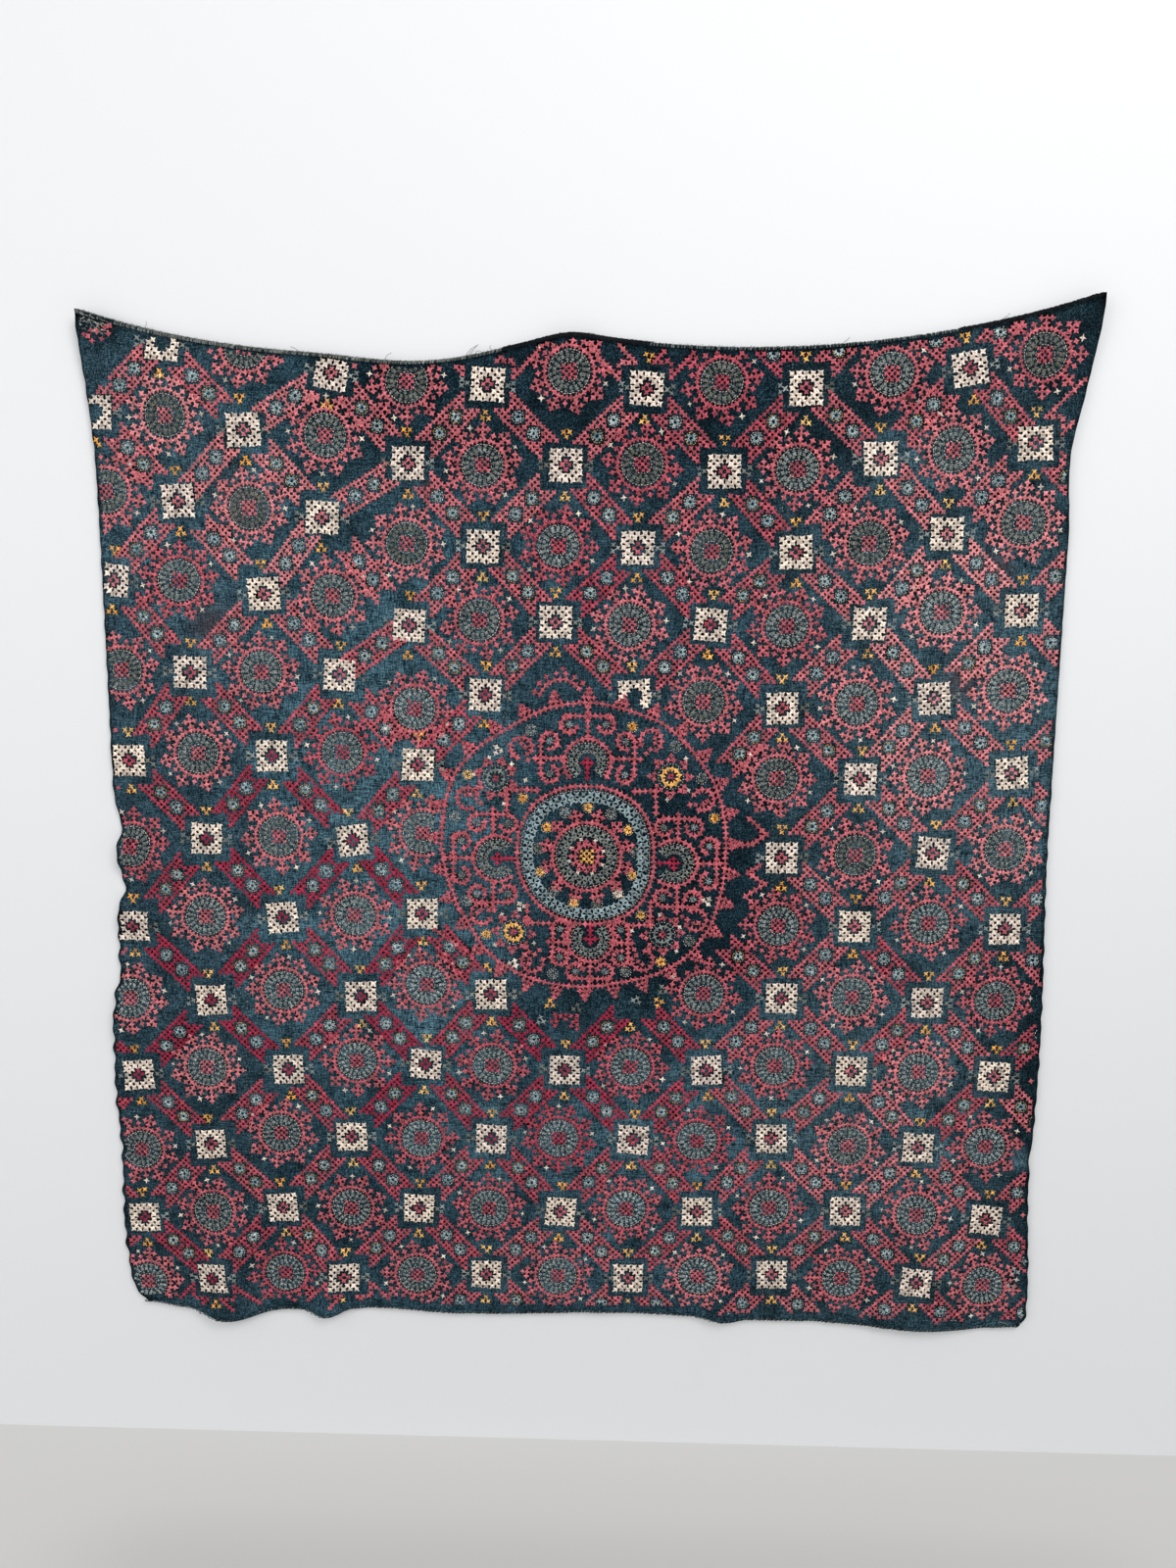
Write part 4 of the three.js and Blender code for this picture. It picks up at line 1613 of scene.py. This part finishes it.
# Range of a value, and the range that it is stretched to
WEAVE_LEVELS = {
    "streaks": (0.88, 1.16, 0.0, 1.0),
    "wear": (0.0, 1.0, 0.12, 1.0),
    "worn specks": (0.5, 0.75, 0.0, 0.6),
    "patches": (0.3, 0.7, 0.5, 1.45),
    "slubs": (0.8, 1.2, 0.68, 1.18),
    "grain": (0.36, 0.64, 0.7, 1.25),
    "kept dye": (0.0, 0.35, 0.58, 1.04),
    # Painted shade: where stitching is thick, and at the hems and side edges, the cloth is darkened down to
    # 0.12
    "shelter": (0.28, 0.68, 1.0, 0.12),
}

weave_group, dyes, made, place = dye_group("handloom weave")
warp = noise(weave_group, place, YARN_SCALE, YARN_DETAIL, (1, 1, YARN_STRETCH))
weft = noise(weave_group, place, YARN_SCALE, YARN_DETAIL, (YARN_STRETCH, 1, 1))
specks = noise(weave_group, place, SPECK_SCALE, SPECK_DETAIL)
patches = noise(weave_group, place, PATCH_SCALE, PATCH_DETAIL)
fading = attribute(weave_group, "faded")
both = weave_group.nodes.new("ShaderNodeMath")
both.operation = "ADD"
weave_group.links.new(warp, both.inputs[0])
weave_group.links.new(weft, both.inputs[1])
yarn = both.outputs[0]


def stretched(name, value):
    return levels(weave_group, value, *WEAVE_LEVELS[name])


blue = blend(weave_group, stretched("streaks", yarn), dyes["Deep"], dyes["Faded"])
blue = blend(weave_group, stretched("wear", fading), dyes["Deep"], blue)
blue = blend(weave_group, stretched("worn specks", specks), blue, dyes["Faded"])
# Patches, slubs, grain and kept dye are the cloth's own; the last of these darkenings is painted shade
SHADES = {"patches": patches, "slubs": yarn, "grain": specks, "kept dye": fading,
          "shelter": attribute(weave_group, "painted_shade_amount")}
for name, value in SHADES.items():
    blue = times(weave_group, blue, stretched(name, value))
blue = blend(weave_group, attribute(weave_group, "stained"), blue, STAIN_COLOUR)
weave_group.links.new(blue, made["Color"])
weave_group.links.new(yarn, made["Height"])
print("weave group has", len(weave_group.nodes), "nodes")

# %% [markdown]
# ## The loom widths
# One grid makes the front and the back of a strip: its first half runs down the front and its second half
# up the back. Top and bottom rows follow a round roll for the hems, and the side columns close to an edge,
# so after merging doubles the strip is one closed thin sheet, which is better than a surface without any
# thickness.

# %% Hung sheet
GRID_STEP = 6.0
EDGE_TAPER = 1.6
HEM_RADIUS = 3.0
HEM_TURNS = 7
HEM_SWEEP = 0.88 * math.pi


def sheet_rows():
    """Distances down the cloth and half the thickness there, with the rolls at both ends."""
    angles = np.linspace(0, HEM_SWEEP, HEM_TURNS)
    roll_down = HEM_RADIUS * (1 - np.cos(angles))
    roll_half = HEM_RADIUS * np.sin(angles)
    body_down = np.linspace(GRID_STEP, DROP - GRID_STEP, round(DROP / GRID_STEP))
    down = np.concatenate([roll_down, body_down, DROP - roll_down[::-1]])
    body_half = np.full(len(body_down), CLOTH_THICKNESS / 2)
    half = np.concatenate([roll_half, body_half, roll_half[::-1]])
    return down, half


def hung_sheet(name, start, end):
    inner = np.linspace(start + EDGE_TAPER, end - EDGE_TAPER, round((end - start) / GRID_STEP))
    columns = np.concatenate([[start], inner, [end]])
    down, half = sheet_rows()
    last = len(down) - 1
    bm = bmesh.new()
    bmesh.ops.create_grid(bm, x_segments=len(columns) - 1, y_segments=2 * last, size=0.5)
    flat = np.array([vert.co[:2] for vert in bm.verts]) + 0.5
    column = np.rint(flat[:, 0] * (len(columns) - 1)).astype(int)
    lap = np.rint(flat[:, 1] * 2 * last).astype(int)
    behind = lap > last
    row = np.where(behind, 2 * last - lap, lap)
    at_side = (column == 0) | (column == len(columns) - 1)
    thick = np.where(at_side, 0, half[row])
    x, z = hang(columns[column], down[row])
    y = np.where(behind, thick, -thick) - relief(x, z)
    for vert, hung in zip(bm.verts, np.column_stack([x, y, z]) * MM):
        vert.co = hung
    bmesh.ops.remove_doubles(bm, verts=bm.verts, dist=MERGE_DISTANCE * MM)
    bmesh.ops.recalc_face_normals(bm, faces=bm.faces)
    mesh = bpy.data.meshes.new(name)
    bm.to_mesh(mesh)
    bm.free()
    mesh.shade_smooth()
    return mesh


print(len(sheet_rows()[0]), "rows down a sheet")

# %% [markdown]
# Each strip gets its own dye, and its points get their fading, painted shade and stains. It takes the
# place of its solid, and its flat size says how it was cut.

# %% Loom widths
def colour_points(mesh):
    places = np.empty(len(mesh.vertices) * 3, dtype=np.float32)
    mesh.vertices.foreach_get("co", places)
    x, _, z = places.reshape(-1, 3).astype(float).T / MM
    point_values(mesh, "faded", faded(x, z))
    # Painted shade for the shadows between thick stitching, under the hems and along the side edges
    point_values(mesh, "painted_shade_amount", painted_shade_amount(x, z, shelter))
    point_values(mesh, "stained", stained(x, z))


seam = 0.0
for index, (name, cut) in enumerate(LOOM_WIDTHS.items()):
    start = seam + (SEAM_GAP / 2 if index else 0)
    seam += cut
    end = seam - (SEAM_GAP / 2 if index < len(LOOM_WIDTHS) - 1 else 0)
    mesh = hung_sheet(f"cotton_{name}", start, end)
    colour_points(mesh)
    cotton = dyed_cotton(f"indigo cotton {name[-1]}", weave_group, *INDIGO[name], COTTON_FINISH)
    strip = new_piece(f"cotton_{name}", mesh, cotton)
    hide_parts(name)
    print(strip.name, len(mesh.polygons), "faces")

# %% [markdown]
# ## Whipped hems
# The top and bottom hems are rolled and whipped: a thread passes round the roll again and again, a little
# further along each time. One turn is a short bent tube, made by spinning a small ring of points round the
# roll. At the top the thread is pale and olive on the left, and nearly black and close in the middle and
# at the right tip, with a worn stretch between these. At the bottom it is thin and further apart.

# %% One turn of whipping
TURN_SIDES = 5
TURN_STEPS = 7
TURN_SWEEP = math.radians(230)
# How far the thread's middle stands off the roll, as a share of its radius
TURN_LIFT = 0.6


def whipping_turn(thread_radius):
    """A bent tube round the x axis, open towards -z."""
    bm = bmesh.new()
    ring = bmesh.ops.create_circle(bm, cap_ends=True, segments=TURN_SIDES, radius=thread_radius)["verts"]
    off_roll = Matrix.Translation((0, 0, HEM_RADIUS + thread_radius * TURN_LIFT))
    start = Matrix.Rotation(-TURN_SWEEP / 2, 4, "X") @ off_roll
    bmesh.ops.transform(bm, matrix=start @ Matrix.Rotation(QUARTER, 4, "X"), verts=ring)
    bmesh.ops.spin(bm, geom=list(bm.faces), cent=(0, 0, 0), axis=(1, 0, 0), angle=TURN_SWEEP,
                   steps=TURN_STEPS, use_duplicate=False)
    bmesh.ops.recalc_face_normals(bm, faces=bm.faces)
    bmesh.ops.triangulate(bm, faces=bm.faces)
    return as_arrays(bm)


print("one turn has", len(whipping_turn(1)[1]), "faces")

# %% [markdown]
# The turns are copied along the hems like the stitches. No two are quite alike in place, lean and girth.

# %% Whip the hems
PITCH_SLIP = 0.12
LEAN_SLIP = 0.25
GIRTH, GIRTH_SLIP = 1.03, 0.04
WHIP_AGES = (0, 0.5)
WHIP_TONES = (-0.4, 0.7)
# From and to across the cloth, pitch, thread radius, slant and colour
TOP_WHIPPING = {
    "top_whipping_olive": (7, 640, 2.6, 0.7, 4.2, "grey"),
    "top_whipping_dark": (640, 860, 2.7, 1.2, 3.0, "dark"),
    "top_whipping_worn": (860, 1310, 5.2, 0.6, 4.2, "grey"),
    "top_whipping_tip": (1310, CLOTH_WIDTH - 3, 1.9, 1.0, 3.0, "dark"),
}
BOTTOM_WHIPPING = (4, CLOTH_WIDTH - 4, 6.5, 0.6, 4.2, "grey")


def whip(name, down, upside, first, last, pitch, thread_radius, slant, colour):
    """Turns of thread along a hem. Upside is 1 at the top and -1 at the bottom."""
    points, faces = whipping_turn(thread_radius)
    across = np.arange(first, last, pitch)
    count = len(across)
    across = across + hand.normal(0, pitch * PITCH_SLIP, count)
    lean = slant * hand.normal(1, LEAN_SLIP, (count, 1))
    girth = hand.normal(GIRTH, GIRTH_SLIP, (count, 1))
    x, z = hang(across, np.full_like(across, down))
    turn_x = x[:, None] + points[:, 0] + lean * points[:, 1] / HEM_RADIUS
    turn_y = -relief(x, z)[:, None] + points[:, 1] * girth
    turn_z = z[:, None] + upside * points[:, 2] * girth
    ages = hand.uniform(*WHIP_AGES, (count, 1))
    tones_and_highlights = hand.uniform(*WHIP_TONES, (count, 1))
    joined_piece(name, turn_x, turn_y, turn_z, faces[:, ::upside], ages, tones_and_highlights, colour)


for name, stretch in TOP_WHIPPING.items():
    whip(name, HEM_RADIUS, 1, *stretch)
whip("bottom_whipping", DROP - HEM_RADIUS, -1, *BOTTOM_WHIPPING)
print("the top hem has", len(TOP_WHIPPING), "kinds of whipping")

# %% [markdown]
# ## Loose threads
# Old whipping wears through, so short ends of thread stand up from the top hem and one hangs in a loop at
# the bottom right corner. A curve with a round bevel is the easiest way to draw a thread. All of them are
# splines of one curve, which is turned into a mesh at the end. Finer ends make the fuzz along the hem.

# %% Loose threads
# Where each thread leaves the hem, then how far along and up each next point is
LOOSE_THREADS = [
    (460, [(1, 5), (4, 9), (10, 12)]),
    (580, [(4, 6), (11, 11), (20, 14)]),
    (584, [(5, 5), (9, 9), (14, 13)]),
    (598, [(-3, 3), (2, 6), (7, 3)]),
    (618, [(2, 4), (-3, 7), (1, 9)]),
    (100, [(1, 4), (3, 8), (2, 11)]),
    (330, [(-3, 4), (-8, 6), (-12, 7)]),
    (1140, [(2, 4), (6, 5), (9, 9)]),
    (1365, [(3, 3), (9, 4), (13, 8)]),
]
CORNER_LOOP = [(734, -1603), (752, -1608), (761, -1614), (768, -1613), (770, -1604)]
THREAD_RADIUS = 0.45
THREAD_AGE, THREAD_TONE = 0.8, 0.6
ROOT_UP = -1
LOOP_OFF_CLOTH = 1
FUZZ_COUNT = 420
FUZZ_RADIUS = 0.22
# The fuzz begins at a distance from the left corner and ends at a share of the width
FUZZ_FROM, FUZZ_SHARE = 6, 0.75
FUZZ_SLIP = 2.0
FUZZ_HEIGHTS = (1.0, 3.6)
# Where an end of fuzz bends, as shares of the way along and up to its tip
BEND_ALONG, BEND_UP = 0.3, 0.8


def thread_spline(curve, points, radius):
    """Points are x, y, z in millimetres."""
    spline = curve.splines.new("NURBS")
    spline.points.add(len(points) - 1)
    for point, place in zip(spline.points, points):
        point.co = (*(value * MM for value in place), 1)
        point.radius = radius
    spline.order_u = 3
    spline.use_endpoint_u = True


def hem_point(across, along, up):
    x, z = hang(np.array([across + along]), np.zeros(1))
    return (x[0], -relief(x, z)[0], z[0] + up)


curve = bpy.data.curves.new("loose threads", "CURVE")
curve.dimensions = "3D"
# With a bevel of 1 mm, the radius of each point is in millimetres
curve.bevel_depth = MM
curve.bevel_resolution = 0
curve.resolution_u = 3
curve.use_fill_caps = True
for across, steps in LOOSE_THREADS:
    points = [hem_point(across, *step) for step in [(0, ROOT_UP)] + steps]
    thread_spline(curve, points, THREAD_RADIUS)
loop_x, loop_z = np.array(CORNER_LOOP, dtype=float).T
loop_y = -relief(loop_x, loop_z) - CLOTH_THICKNESS - LOOP_OFF_CLOTH
thread_spline(curve, list(zip(loop_x, loop_y, loop_z)), THREAD_RADIUS)
for across in hand.uniform(FUZZ_FROM, CLOTH_WIDTH * FUZZ_SHARE, FUZZ_COUNT):
    along, up = hand.normal(0, FUZZ_SLIP), hand.uniform(*FUZZ_HEIGHTS)
    steps = [(0, ROOT_UP), (along * BEND_ALONG, up * BEND_UP), (along, up)]
    thread_spline(curve, [hem_point(across, *step) for step in steps], FUZZ_RADIUS)
drawn = bpy.data.objects.new("drawn threads", curve)
mesh = bpy.data.meshes.new_from_object(drawn)
mesh.name = "loose_threads"
bpy.data.objects.remove(drawn)
bpy.data.curves.remove(curve)
point_values(mesh, "age", np.full(len(mesh.vertices), THREAD_AGE))
point_values(mesh, "tone_and_highlight", np.full(len(mesh.vertices), THREAD_TONE))
new_piece("loose_threads", mesh, thread_materials["grey"])
print("loose threads:", len(LOOSE_THREADS) + 1, "and", FUZZ_COUNT, "ends of fuzz")
